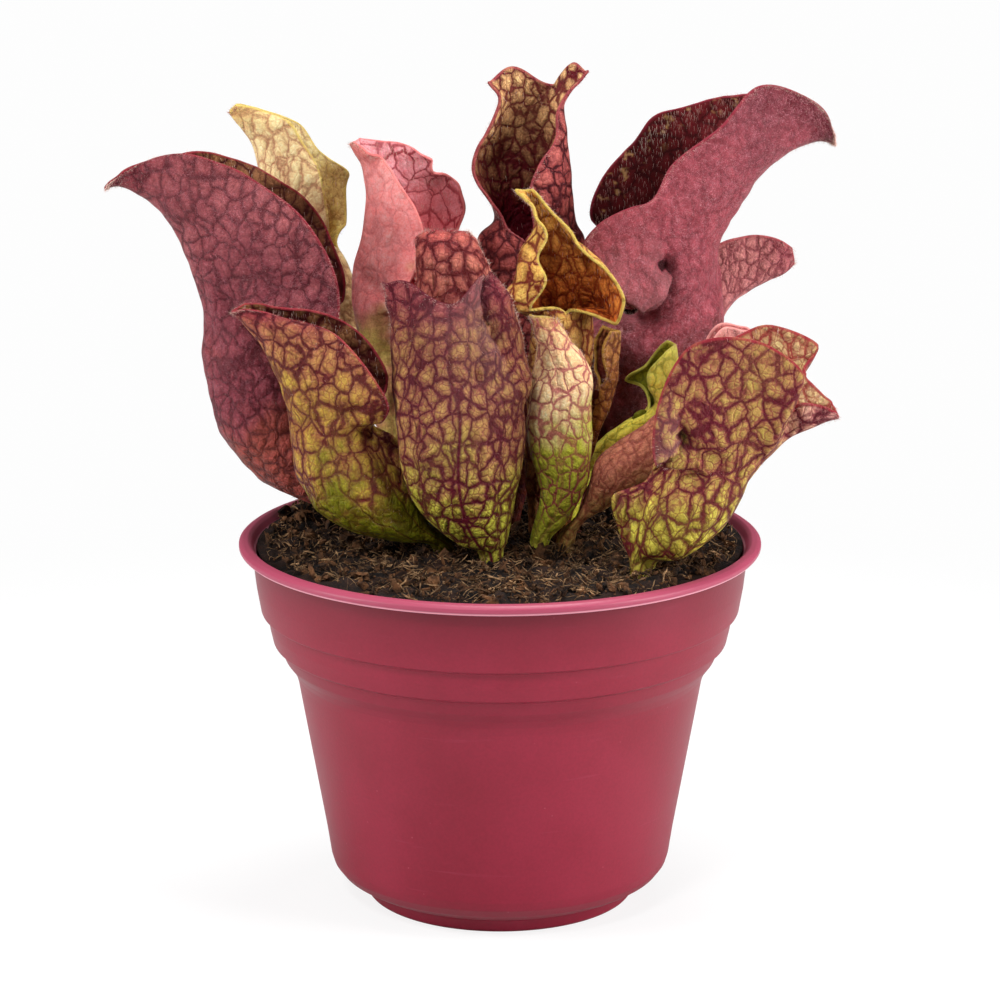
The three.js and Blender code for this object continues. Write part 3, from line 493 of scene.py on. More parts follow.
def side_of_line(points, line):
    """For each point in a plane, which side of a bent line it is on and how far away."""
    nearest = np.full(points.shape[:-1], np.inf)
    side = np.ones(points.shape[:-1])
    for start, end in zip(np.array(line[:-1], float), np.array(line[1:], float)):
        along = end - start
        reached = points - start
        share = np.clip(reached @ along / (along @ along), 0, 1)
        off = np.linalg.norm(reached - share[..., None] * along, axis=-1)
        turn = along[0] * reached[..., 1] - along[1] * reached[..., 0]
        side = np.where(off < nearest, np.sign(turn), side)
        nearest = np.minimum(off, nearest)
    return side, nearest


def leaf_surface(name, leaf):
    """A pitcher's outer and inner skins as grids.

    A point at s, from -1 at the left margin to 1 at the right, turns through wrap times |s|:
    it lies sideways by the half width times the sine of that turn, and forward by the reach
    times one less its cosine, over one less the cosine of the wrap. The margins ripple by a
    sine along the leaf, fading inwards with |s| to the sixth power. Soft noise, a bell across each
    fold and a step along each flap then move the skin along its normal, and the keel is a bell
    about the seam. The inner skin is the outer one, without the keel, moved inwards by the leaf's
    thickness.
    """
    angle = math.radians(leaf["face"])
    across = np.array([-math.sin(angle), math.cos(angle)])
    columns, steps = leaf.get("grid", LEAF_GRID)
    rows = cubic_rows(leaf_rows(leaf, across), steps)
    mouth = (len(leaf["tube"]) + 1) * steps
    top = len(rows) - 1
    even = np.linspace(-1, 1, columns + 1)
    s = 0.45 * even + 0.55 * np.sin(math.pi / 2 * even)
    left = (s < 0)[None, :, None]
    side = np.where(left, rows[:, None, 3:8], rows[:, None, 8:13])
    wrap = np.radians(side[..., 4])
    turn = wrap * np.abs(s)[None, :]
    widest = np.where(wrap < math.pi / 2, np.sin(wrap), 1)
    sideways = -np.sign(s)[None, :] * side[..., 3] * np.sin(turn) / widest
    forward = (1 - np.cos(turn)) / (1 - np.cos(wrap))
    outer = rows[:, None, :3] + forward[..., None] * side[..., :3]
    outer[..., :2] += sideways[..., None] * across
    t = (np.arange(top + 1) - mouth) / steps
    risen = np.clip(t / t[-1], 0, 1)[:, None]
    outer[..., 2] += leaf.get("crest", 0) * risen ** CREST_POWER * np.sin(math.pi * np.abs(s)) ** 2
    closed = np.arange(top + 1) <= mouth

    def inward(grid):
        """The normal that points into the leaf: the way up crossed with the way across."""
        up = np.gradient(grid, axis=0)
        right = np.gradient(grid, axis=1)
        seam = grid[:, 1] - grid[:, -2]
        right[closed, 0] = seam[closed]
        right[closed, -1] = seam[closed]
        return unit(np.cross(up, right))

    normal = inward(outer)
    wave = np.sin(RIPPLE_PACE * t) * leaf["ripple"] * np.clip(t[-1] - t, 0, 1)
    fine = np.sin(FINE_RIPPLE_PACE * t + leaf["face"]) * np.clip((t[-1] - t) * 1.5, 0, 1)
    fine = 0.3 * leaf["ripple"] * fine
    wave = np.where(t > 0, wave + fine * np.clip(t, 0, 1), 0)
    outer = outer + normal * (wave[:, None] * np.abs(s)[None, :] ** MARGIN_POWER)[..., None]
    # soft unevenness over the whole leaf, then its own folds and flaps
    ease = np.clip((outer[..., 2] - UNEVEN_START) / 8, 0, 1)
    uneven = SWELL_HEIGHT * swell(outer, sum(map(ord, name)), SWELL_SIZE) * ease
    fold_shade_and_light = np.zeros(outer.shape[:-1])
    for start, end, width, depth, near_y in leaf.get("folds", ()):
        off = side_of_line(outer[..., [0, 2]], (start, end))[1]
        near = outer[..., 1] < near_y
        uneven += depth * np.exp(-(off / width) ** 2) * near
        # painted shade along each fold's valley, kept for the leaf's colour
        shadow = 0.18 * max(depth, 0) ** 2 * np.exp(-(1.6 * off / width) ** 2) * near
        fold_shade_and_light = np.maximum(fold_shade_and_light, np.minimum(shadow, 1))
    for line, height, reach, near_y in leaf.get("flaps", ()):
        over, off = side_of_line(outer[..., [0, 2]], line)
        step = np.clip(over * off / FLAP_EDGE + 0.5, 0, 1)
        near = outer[..., 1] < near_y
        uneven -= height * step * np.exp(-(off / reach) ** 2) * near
        # painted shade below a flap's step, and above it a paler lip, painted as a highlight and partly
        # as pale down
        lip = np.where(over > 0, -np.exp(-off / reach), np.exp(-off / 1.2)) * near
        fold_shade_and_light = np.where(np.abs(lip) > np.abs(fold_shade_and_light), lip, fold_shade_and_light)
    outer = outer + normal * uneven[..., None]
    weld = 0.5 * (outer[closed, 0] + outer[closed, -1])
    outer[closed, 0] = weld
    outer[closed, -1] = weld
    normal = inward(outer)
    inner = outer + normal * LEAF_THICKNESS
    by_seam = np.exp(-((1 - np.abs(s)) / KEEL_WIDTH) ** 2)
    keel = (rows[:, 13] * closed)[:, None] * by_seam[None, :]
    outer = outer + keel[..., None] * unit(side[:, 0, :3])[:, None]
    return outer, inner, normal, fold_shade_and_light, s, t, mouth


def margin_distances(outer, mouth):
    """How far each point of a skin lies from the open margin, and how far from the left side.

    The first is the lesser of the way round to the nearer side and the way up to the top edge.
    In the closed tube the way up to the mouth is added to the way round.
    """
    rows, cols = outer.shape[:2]
    arc = np.linalg.norm(np.diff(outer, axis=1), axis=-1)
    from_left = np.concatenate([np.zeros((rows, 1)), np.cumsum(arc, axis=1)], axis=1)
    to_side = np.minimum(from_left, from_left[:, -1:] - from_left)
    along = np.linalg.norm(np.diff(outer, axis=0), axis=-1)
    below_top = np.concatenate([np.cumsum(along[::-1], axis=0)[::-1], np.zeros((1, cols))], axis=0)
    below_mouth = np.concatenate([np.cumsum(along[mouth - 1::-1, 0])[::-1], [0]])
    to_side[:mouth + 1] += below_mouth[:, None]
    return np.minimum(to_side, below_top), from_left


def leaf_piece(name, leaf):
    """A pitcher as one closed skin: outer grid, inner grid, a rounded rim between their margins,
    and a fan of triangles over the stalk's foot and over the bottom of the hollow."""
    outer, inner, normal, fold_shade_and_light, s, t, mouth = leaf_surface(name, leaf)
    rows, cols = outer.shape[:2]
    top = rows - 1
    leaf_steps = leaf.get("grid", LEAF_GRID)[1]
    # the hollow ends three rows below the mouth, or at the lowest tube row if that is higher
    floor = max(2 * leaf_steps, mouth - 3 * leaf_steps)
    m = cols - 1

    def ids(start, from_row):
        """Point numbers of a grid, with the seam's two edges as one in the tube."""
        table = np.full((rows, cols), -1)
        count = start
        for i in range(from_row, rows):
            width = m if i <= mouth else cols
            table[i, :width] = count + np.arange(width)
            if i <= mouth:
                table[i, m] = count
            count += width
        return table, count

    out_ids, count = ids(0, 0)
    in_ids, count = ids(count, floor)

    # the margin, from the mouth up the left side, over the top and down the right side
    edge = [(i, 0) for i in range(mouth, top + 1)]
    edge += [(top, j) for j in range(1, cols)]
    edge += [(i, m) for i in range(top - 1, mouth - 1, -1)]
    row, col = np.array(edge).T
    middle = 0.5 * (outer[row, col] + inner[row, col])
    back_col = np.where(col == 0, 1, np.where(col == m, m - 1, col))
    back_row = np.where(row == top, top - 1, row)
    rim = middle + unit(outer[row, col] - outer[back_row, back_col]) * RIM_ROUND
    rim[[0, -1]] = middle[[0, -1]]
    rim_ids = count + np.arange(len(edge))
    total = count + len(edge)

    points = np.zeros((total + 2, 3))
    inside = np.zeros(total + 2)
    dark = np.zeros(total + 2)
    place = np.zeros((total + 2, 2))
    margin = np.zeros(total + 2)
    half = np.full(total + 2, STALK_HALF_GIRTH)
    height = t[:, None] + 0 * s[None, :]
    away, from_left = margin_distances(outer, mouth)
    for table, grid, flag in ((out_ids, outer, 0.0), (in_ids, inner, 1.0)):
        used = table >= 0
        used[:mouth + 1, m] = False
        numbers = table[used]
        points[numbers] = grid[used]
        inside[numbers] = flag
        # painted shade and light of folds and flaps, on the outer skin only
        dark[numbers] = fold_shade_and_light[used] * (1 - flag)
        place[numbers, 0] = np.broadcast_to(s[None, :], (rows, cols))[used]
        place[numbers, 1] = height[used]
        margin[numbers] = away[used]
        half[numbers] = np.broadcast_to(from_left[:, -1:] / 2, (rows, cols))[used]
    points[rim_ids] = rim
    inside[rim_ids] = 0.5
    place[rim_ids, 0] = s[col]
    place[rim_ids, 1] = t[row]
    half[rim_ids] = from_left[row, -1] / 2

    def quads(table, from_row, flip):
        """The squares between neighbouring numbers in a table, turned over where flip is set."""
        a, b = table[from_row:-1, :-1], table[from_row:-1, 1:]
        c, d = table[from_row + 1:, 1:], table[from_row + 1:, :-1]
        four = (a, d, c, b) if flip else (a, b, c, d)
        return np.stack(four, axis=-1).reshape(-1, 4)

    out_edge, in_edge = out_ids[row, col], in_ids[row, col]
    faces = [quads(out_ids, 0, False), quads(in_ids, floor, True)]
    for first, second in ((out_edge, rim_ids), (rim_ids, in_edge)):
        band = np.stack([first[:-1], second[:-1], second[1:], first[1:]], axis=-1)
        faces.append(band[:, ::-1])
    faces = np.concatenate(faces)
    tris = np.concatenate([faces[:, [0, 1, 2]], faces[:, [0, 2, 3]]])
    foot, pit = total, total + 1
    points[foot] = outer[0, :m].mean(axis=0)
    points[pit] = inner[floor, :m].mean(axis=0)
    inside[pit] = 1
    place[foot, 1] = t[0]
    place[pit, 1] = t[floor]
    margin[[foot, pit]] = FAR_FROM_MARGIN
    fan = [np.stack([np.full(m, foot), out_ids[0, 1:], out_ids[0, :-1]], axis=-1),
           np.stack([np.full(m, pit), in_ids[floor, :-1], in_ids[floor, 1:]], axis=-1)]
    tris = np.concatenate([tris, *fan])
    a, b, c = points[tris].transpose(1, 0, 2)
    area = np.linalg.norm(np.cross(b - a, c - a), axis=-1)
    volume = np.einsum("ij,ij->i", a, np.cross(b, c)).sum()
    tris = tris[area > SLIVER]
    if volume < 0:
        tris = tris[:, ::-1]
    rise = (points[:, 2] - COLOUR_START) / (points[:, 2].max() - COLOUR_START)
    reach = np.clip(place[:, 1] / t[-1], 0, 1)
    piece = mesh_piece(name + "_leaf", points, tris, uv=place,
                       values={"inside": inside, "margin_mm": margin, "rise": rise, "reach": reach,
                               "fold_shade_and_light": dark, "half_mm": half})
    piece.data.materials.append(leaf_material(leaf["look"]))
    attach(piece, "root")
    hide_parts(name)
    return outer, inner, normal, away


# materials
class Nodes:
    """A short way to place and join shader nodes in one tree."""

    def __init__(self, tree):
        self.tree = tree
        tree.nodes.clear()

    def add(self, kind, inputs=None, **settings):
        """A new node with those settings, and its inputs fed by name or by number."""
        node = self.tree.nodes.new(kind)
        for key, value in settings.items():
            setattr(node, key, value)
        for key, value in (inputs or {}).items():
            self.feed(node.inputs[key], value)
        return node

    def feed(self, socket, value):
        """Joins another socket to this one, or sets its value."""
        if isinstance(value, bpy.types.NodeSocket):
            self.tree.links.new(value, socket)
        elif isinstance(value, (list, tuple)) and socket.type == "RGBA" and len(value) == 3:
            socket.default_value = (*value, 1)
        else:
            socket.default_value = value

    def math(self, operation, a, b=0.0, clamp=False):
        """The result of a calculation with one or two values."""
        return self.add("ShaderNodeMath", {0: a, 1: b}, operation=operation, use_clamp=clamp).outputs[0]

    def fit(self, value, low, high, out_low=0.0, out_high=1.0):
        """A value eased from the range low to high into the new range."""
        node = self.add("ShaderNodeMapRange", {"Value": value, "From Min": low, "From Max": high,
                                               "To Min": out_low, "To Max": out_high},
                        interpolation_type="SMOOTHSTEP")
        return node.outputs["Result"]

    def mix(self, factor, a, b, blend="MIX"):
        """Colour a with as much of b as the factor says."""
        node = self.add("ShaderNodeMix", data_type="RGBA", blend_type=blend)
        self.feed(node.inputs[0], factor)
        self.feed(node.inputs[6], a)
        self.feed(node.inputs[7], b)
        return node.outputs[2]

    def noise(self, vector, scale, detail=3.0, roughness=0.5, colour=False):
        """Soft noise from 0 to 1, or as three such values where colour is set."""
        node = self.add("ShaderNodeTexNoise", {"Vector": vector, "Scale": scale, "Detail": detail,
                                               "Roughness": roughness})
        return node.outputs["Color" if colour else "Fac"]

    def read(self, name):
        """A value that the mesh holds at each point."""
        return self.add("ShaderNodeAttribute", attribute_name=name).outputs["Fac"]

    def vector(self, operation, a, b):
        """The result of a calculation with a vector, and a second one or a scale."""
        node = self.add("ShaderNodeVectorMath", {0: a}, operation=operation)
        self.feed(node.inputs["Scale" if operation == "SCALE" else 1], b)
        return node.outputs[0]

    def overlay(self, factor, colour, value, low, high, dark, light):
        """The colour made darker and lighter by a value, eased from low to high into two greys."""
        return self.mix(factor, colour, self.mix(self.fit(value, low, high), (dark,) * 3, (light,) * 3),
                        "OVERLAY")

    def bump(self, strength, distance, height):
        """The surface's normal, tilted as the height says."""
        return self.add("ShaderNodeBump", {"Strength": strength, "Distance": distance,
                                           "Height": height}).outputs[0]


def new_material(name):
    """An empty material and its nodes."""
    material = bpy.data.materials.new(name)
    material.use_nodes = True
    return material, Nodes(material.node_tree)


def finish_material(n, **inputs):
    """The Principled shader with those inputs, joined to the material's output."""
    given = {key.replace("_", " "): value for key, value in inputs.items()}
    shader = n.add("ShaderNodeBsdfPrincipled", given)
    n.add("ShaderNodeOutputMaterial", {"Surface": shader.outputs[0]})


def group(name, inputs, outputs):
    """An empty node group with named inputs and outputs: (tree, nodes, its input sockets)."""
    tree = bpy.data.node_groups.new(name, "ShaderNodeTree")
    for label, kind, value in inputs:
        socket = tree.interface.new_socket(label, in_out="INPUT", socket_type=kind)
        if value is not None:
            socket.default_value = value
    for label, kind in outputs:
        tree.interface.new_socket(label, in_out="OUTPUT", socket_type=kind)
    n = Nodes(tree)
    source = n.add("NodeGroupInput")
    return tree, n, source.outputs


def leaf_net_group():
    """Veins of a leaf: a net of many-sided cells, finer lines in them, and main veins lengthwise.

    Strip is the leaf's own UV: across from -1 to 1, and lengthwise. Half is half its girth in
    millimetres, so that the main veins keep their width where the leaf narrows.
    """
    floats = [("Half", 20.0), ("Cell", 4.0), ("Thickness", 0.1), ("Stretch", 0.75), ("Lanes", 8.0)]
    tree, n, given = group(
        "leaf veins",
        [("Place", "NodeSocketVector", None), ("Strip", "NodeSocketVector", None)]
        + [(label, "NodeSocketFloat", value) for label, value in floats],
        [(label, "NodeSocketFloat") for label in
         ("Net", "Shade", "Mesh", "Fine", "Main", "Relief", "Patch", "Cell Tint", "Curl")])
    millimetres = n.vector("MULTIPLY", given["Place"], (1000, 1000, 1000))

    def pushed(vector, scale, amount):
        """The point moved by a soft noise of that scale, by up to half the amount."""
        wobble = n.noise(millimetres, scale, 2.0, 0.55, colour=True)
        centred = n.vector("SUBTRACT", wobble, (0.5, 0.5, 0.5))
        return n.vector("ADD", vector, n.vector("SCALE", centred, amount))

    bent = pushed(pushed(millimetres, 0.2, 3.4), 0.9, 0.5)
    tall = n.add("ShaderNodeCombineXYZ", {0: 1.0, 1: 1.0, 2: given["Stretch"]}).outputs[0]
    cells = n.vector("MULTIPLY", bent, tall)
    scale = n.math("DIVIDE", 1.0, given["Cell"])

    def cell_pattern(times, feature):
        """Cells that many times as fine as the net's."""
        return n.add("ShaderNodeTexVoronoi", {
            "Vector": cells, "Scale": n.math("MULTIPLY", scale, times), "Randomness": 0.78},
            feature=feature).outputs

    def border(times):
        """How far each point is from the border of its cell."""
        return cell_pattern(times, "DISTANCE_TO_EDGE")["Distance"]

    def line(distance, width):
        """1 on a border, falling to 0 at that distance."""
        return n.add("ShaderNodeMapRange", {"Value": distance, "From Min": 0.0, "From Max": width,
                                            "To Min": 1.0, "To Max": 0.0},
                     interpolation_type="SMOOTHSTEP").outputs["Result"]

    far, small, tiny = border(1.0), border(2.4), border(5.0)
    tint = n.add("ShaderNodeSeparateColor", {0: cell_pattern(1.0, "F1")["Color"]}).outputs[0]
    uneven = n.fit(n.noise(millimetres, 0.14, 2.0), 0.3, 0.7, 0.6, 1.6)
    wide = n.math("MULTIPLY", given["Thickness"], uneven)
    net = line(n.math("SUBTRACT", far, n.math("MULTIPLY", wide, 0.3)), wide)
    shade = line(far, 0.42)
    mesh = line(small, 0.12)
    fine = line(tiny, 0.2)

    across = n.add("ShaderNodeSeparateXYZ", {0: given["Strip"]}).outputs[0]
    side = n.math("ABSOLUTE", across)
    sway = n.math("MULTIPLY", n.math("SUBTRACT", n.noise(millimetres, 0.1, 2.0), 0.5), 1.1)
    sway = n.math("MULTIPLY", sway, n.fit(side, 0.0, 0.3))
    half_lanes = n.math("MULTIPLY", given["Lanes"], 0.5)
    lane = n.math("ADD", n.math("ADD", n.math("MULTIPLY", across, half_lanes), sway), 0.5)
    off = n.math("ABSOLUTE", n.math("SUBTRACT", n.math("FRACT", lane), 0.5))
    off = n.math("MULTIPLY", n.math("DIVIDE", off, half_lanes), given["Half"])
    lanes = n.fit(off, 0.05, 0.5, 0.75, 0.0)
    rib = n.fit(n.math("MULTIPLY", side, given["Half"]), 0.1, 0.75, 1.0, 0.0)
    main = n.math("MAXIMUM", lanes, rib)

    dome = n.fit(far, 0.0, 0.32)
    relief = n.math("ADD", dome, n.math("MULTIPLY", n.fit(small, 0.0, 0.25), 0.35))
    relief = n.math("SUBTRACT", relief, n.math("MULTIPLY", main, 0.5))
    patch = n.noise(millimetres, 0.06, 3.0, 0.6)
    curl = n.add("ShaderNodeTexNoise", {"Vector": millimetres, "Scale": 0.9, "Detail": 2.0,
                                        "Roughness": 0.5, "Distortion": 5.0}).outputs["Fac"]
    curl = n.fit(n.math("ABSOLUTE", n.math("SUBTRACT", curl, 0.5)), 0.0, 0.034, 1.0, 0.0)
    out = n.add("NodeGroupOutput")
    for label, value in (("Net", net), ("Shade", shade), ("Mesh", mesh), ("Fine", fine),
                         ("Main", main), ("Relief", relief), ("Patch", patch), ("Cell Tint", tint),
                         ("Curl", curl)):
        n.feed(out.inputs[label], value)
    return tree


LEAF_NET = leaf_net_group()

# Values that most kinds of leaf share: how far up the lowest colour ends and the net fades in, the
# cell size in mm, how much down there is, where in the mouth the deep colour, partly painted shade,
# ends, and how many pale blotches lie inside near the margins.
SHARED_LOOK = dict(turn=0.15, fade=-1.0, cell=3.6, fuzz=0.02, pit=0.15, blotch=0.0)
# Colours of each kind of leaf: the cells low, middle, high and at the tip on the outside, the veins,
# the soft halo along them, the rim, the inside's cells near the tip and deep in the mouth, those deep
# in the mouth darker partly as painted shade in the hollow, and the inside's veins. Then how strong the
# halo, the net, the mesh in its cells, the finest lines, the main veins and the inside's net are.
LOOKS = {
    "plum": dict(
        low="98463E", mid="864048", high="A45A5A", tip="701C28", vein="3C0610", halo="701C2C",
        rim="8E2030", inner="A8744C", deep_with_shade="5A1E18", inner_vein="460A14",
        shade=0.5, net=0.7, mesh=0.5, fine=0.3, main=0.35, inner_net=0.9, fuzz=0.14),
    # its low colour is the greener belly, darkened in part as painted shade near the foot
    "olive": dict(
        low="6E7010", mid="AE9036", high="B88252", tip="8E3C3A", vein="4A0812", halo="7A2430",
        rim="98303A", inner="9A6A44", deep_with_shade="5A2A1A", inner_vein="4A0C14",
        shade=0.75, net=1.0, mesh=0.75, fine=0.35, main=0.8, inner_net=0.9, fade=0.2),
    "wine_olive": dict(
        low="B8B640", mid="A48046", high="906040", tip="8E4844", vein="4A0818", halo="6C1A2E",
        rim="5A1020", inner="9A6844", deep_with_shade="5A1E18", inner_vein="4A0C16",
        shade=0.8, net=1.0, mesh=0.85, fine=0.4, main=1.0, inner_net=0.9, fade=-0.2, cell=3.3),
    "crimson": dict(
        low="9C5A3A", mid="AE604A", high="C47864", tip="B8584E", vein="50060E", halo="76202A",
        rim="8E2030", inner="C08066", deep_with_shade="5A1418", inner_vein="4A0810",
        shade=0.8, net=1.0, mesh=0.6, fine=0.4, main=0.6, inner_net=0.9),
    "coral": dict(
        low="BCA254", mid="F68C8A", high="FFA8A4", tip="E4827A", vein="A03440", halo="C8545A",
        rim="E07A76", inner="FFB2B8", deep_with_shade="DA5E64", inner_vein="98202E",
        shade=0.15, net=0.25, mesh=0.2, fine=0.15, main=0.15, inner_net=0.85,
        turn=0.3, cell=4.0, fuzz=0.04),
    "straw": dict(
        low="A09434", mid="E8D094", high="EED8A0", tip="DCC070", vein="94402F", halo="B8704C",
        rim="D2B85C", inner="FFF0B0", deep_with_shade="F0DC88", inner_vein="8A3A28",
        shade=0.25, net=0.6, mesh=0.4, fine=0.2, main=0.3, inner_net=0.3, cell=3.8),
    "dark_mouth": dict(
        low="501812", mid="A8544C", high="C86C64", tip="D07470", vein="3A0610", halo="6E1420",
        rim="9A4448", inner="F2BE82", deep_with_shade="5C0A12", inner_vein="5C0A1A",
        shade=0.75, net=1.0, mesh=0.6, fine=0.3, main=0.6, inner_net=1.0, cell=3.0, pit=0.24),
    "orange_mouth": dict(
        low="B07848", mid="D4A458", high="DCB458", tip="DCBC66", vein="66160F", halo="A04820",
        rim="CCB458", inner="F8C060", deep_with_shade="E88238", inner_vein="701008",
        shade=0.5, net=0.95, mesh=0.5, fine=0.3, main=0.4, inner_net=0.8, cell=3.2),
    "green": dict(
        low="CACC40", mid="FCE0A8", high="F6CC94", tip="CCA45C", vein="9C2E48", halo="B05048",
        rim="B09C48", inner="A89450", deep_with_shade="6A6020", inner_vein="6A2E30",
        shade=0.22, net=0.9, mesh=0.3, fine=0.2, main=0.4, inner_net=0.6, turn=0.34, fade=0.15, cell=3.0),
    # its low colour is the dark red base, darkened in part as painted shade low on the leaf
    "rose": dict(
        low="480810", mid="A84852", high="9C4C56", tip="5A1420", vein="46060E", halo="741A28",
        rim="94283A", inner="8E2A30", deep_with_shade="46060A", inner_vein="2C0408",
        shade=0.3, net=0.25, mesh=0.3, fine=0.35, main=0.12, inner_net=0.6,
        turn=0.24, fuzz=0.2, blotch=1.0),
    "rose_net": dict(
        low="8E4A4A", mid="C87A78", high="D0867E", tip="B46464", vein="6E1A28", halo="8A3A48",
        rim="A84A50", inner="8A4444", deep_with_shade="5A1820", inner_vein="4A1020",
        shade=0.45, net=0.65, mesh=0.4, fine=0.2, main=0.35, inner_net=0.8, cell=2.7, fuzz=0.06),
    "lime_wine": dict(
        low="BEB244", mid="B09848", high="AA8A4C", tip="ECB0A0", vein="560A1C", halo="842038",
        rim="8E2430", inner="E8D296", deep_with_shade="A88040", inner_vein="8A2A2C",
        shade=0.75, net=1.0, mesh=0.85, fine=0.3, main=0.9, inner_net=0.9, fade=-0.1, cell=4.1),
    "bright": dict(
        low="C8C03C", mid="FFEE5C", high="FFF070", tip="D8D060", vein="7C8420", halo="B4B038",
        rim="C0B850", inner="BAB032", deep_with_shade="80801A", inner_vein="56581A",
        shade=0.12, net=0.6, mesh=0.3, fine=0.2, main=0.3, inner_net=0.6, cell=3.0),
    "blush": dict(
        low="A8884A", mid="C88062", high="F4A69E", tip="F6AEA6", vein="741620", halo="A04440",
        rim="F2A49E", inner="D07470", deep_with_shade="8A3038", inner_vein="8A3038",
        shade=0.3, net=0.5, mesh=0.3, fine=0.2, main=0.5, inner_net=0.4, cell=3.0, fuzz=0.04),
    "brown": dict(
        low="8A5A20", mid="AC7438", high="B88448", tip="B88C48", vein="50120E", halo="84381C",
        rim="A87E38", inner="8E5630", deep_with_shade="561C10", inner_vein="4A120E",
        shade=0.4, net=0.9, mesh=0.4, fine=0.25, main=0.5, inner_net=0.8, cell=2.6),
}


def leaf_material(look):
    """A leaf's skin: cell colour by height, darker towards a net of veins, a rim, soft down, and painted
    light and shade: lighter cell middles, shade and a paler lip at folds and flaps, and shade in part
    deep in the mouth and low on the leaf.
    """
    name = "leaf " + look.replace("_", " ")
    if name in bpy.data.materials:
        return bpy.data.materials[name]
    paint = {**SHARED_LOOK, **LOOKS[look]}
    material, n = new_material(name)
    coordinates = n.add("ShaderNodeTexCoord").outputs
    veins = n.add("ShaderNodeGroup", node_tree=LEAF_NET)
    n.feed(veins.inputs["Place"], coordinates["Object"])
    n.feed(veins.inputs["Strip"], coordinates["UV"])
    n.feed(veins.inputs["Half"], n.read("half_mm"))
    veins.inputs["Cell"].default_value = paint["cell"]
    veins.inputs["Thickness"].default_value = 0.055 + 0.03 * paint["net"]
    inside = n.fit(n.read("inside"), 0.35, 0.65)
    rise = n.read("rise")
    patch = veins.outputs["Patch"]
    tide = n.math("ADD", rise, n.math("MULTIPLY", n.math("SUBTRACT", patch, 0.5), 0.9))
    start = paint["turn"]
    cells = n.mix(n.fit(tide, start, start + 0.3), srgb(paint["low"]), srgb(paint["mid"]))
    cells = n.mix(n.fit(tide, 0.55, 1.0), cells, srgb(paint["high"]))
    reach = n.math("ADD", n.read("reach"), n.math("MULTIPLY", n.math("SUBTRACT", patch, 0.5), 0.6))
    cells = n.mix(n.fit(reach, 0.55, 1.0), cells, srgb(paint["tip"]))
    # the inside's cells, darker deep in the mouth: partly their own colour, partly painted shade in the
    # hollow
    hollow = n.mix(n.fit(reach, paint["pit"], 0.75), srgb(paint["deep_with_shade"]), srgb(paint["inner"]))
    cells = n.mix(inside, cells, hollow)
    dark = n.mix(inside, srgb(paint["vein"]), srgb(paint["inner_vein"]))
    spread = n.fit(tide, paint["fade"] - 0.15, paint["fade"] + 0.25)
    spread = n.math("MAXIMUM", spread, inside)
    patchy = n.math("MULTIPLY", n.fit(patch, 0.25, 0.7, 0.7, 1.0), n.fit(spread, 0.0, 1.0, 0.25, 1.0))
    strength = n.fit(inside, 0.0, 1.0, paint["net"], paint["inner_net"])
    tinted = n.math("MULTIPLY", n.fit(veins.outputs["Cell Tint"], 0.0, 1.0, 0.0, 0.3), paint["shade"])

    def strong(output, amount):
        """How strongly one kind of vein shows here."""
        return n.math("MULTIPLY", n.math("MULTIPLY", veins.outputs[output], amount), patchy)

    halo = n.mix(n.fit(tide, start, start + 0.3), srgb("54260E"), srgb(paint["halo"]))
    halo = n.mix(inside, halo, dark)
    colour = n.mix(n.math("MAXIMUM", strong("Shade", paint["shade"]), tinted), cells, halo)
    colour = n.mix(strong("Fine", 0.5 * paint["fine"]), colour, halo)
    colour = n.mix(strong("Mesh", 0.9 * paint["mesh"]), colour, n.mix(0.4, halo, dark))
    main = n.math("MULTIPLY", veins.outputs["Main"], paint["main"])
    main = n.math("MULTIPLY", main, n.fit(rise, 0.4, 1.0, 1.0, 0.6))
    colour = n.mix(n.math("MAXIMUM", strong("Net", strength), main), colour, dark)
    mottle = n.noise(coordinates["Object"], 700.0, 3.0, 0.6)
    blotches = n.fit(n.noise(coordinates["Object"], 420.0, 2.0, 0.6), 0.56, 0.72, 0.0, 0.7)
    near_margin = n.fit(n.read("margin_mm"), 4.0, 9.0, paint["blotch"], 0.0)
    blotches = n.math("MULTIPLY", n.math("MULTIPLY", blotches, inside), near_margin)
    colour = n.mix(blotches, colour, srgb("E0B070"))
    down = n.math("MULTIPLY", veins.outputs["Curl"], min(0.7, 3.6 * paint["fuzz"]))
    down = n.math("MULTIPLY", down, n.fit(mottle, 0.35, 0.6, 0.3, 1.2))
    # less pale down low on the leaf: partly painted shade, where lower parts lie in the shade of other
    # leaves
    down = n.math("MULTIPLY", down, n.fit(rise, 0.2, 0.45, 0.1, 1.0))
    outside = n.fit(inside, 0.0, 1.0, 1.0, 0.0)
    colour = n.mix(n.math("MULTIPLY", down, outside), colour, srgb("DC9CA6"))
    # painted light on domed cells: their middles lighter and their borders darker
    middle = n.mix(veins.outputs["Shade"], (0.57, 0.57, 0.57), (0.43, 0.43, 0.43))
    colour = n.mix(0.4 + 0.3 * paint["shade"], colour, middle, "OVERLAY")
    grain = n.noise(coordinates["Object"], 2400.0, 3.0, 0.6)
    colour = n.overlay(0.5, colour, grain, 0.3, 0.7, 0.3, 0.7)
    colour = n.overlay(0.4, colour, mottle, 0.3, 0.7, 0.34, 0.7)
    rim = n.fit(n.read("margin_mm"), 0.1, 0.5, 0.75, 0.0)
    colour = n.mix(rim, colour, srgb(paint["rim"]))
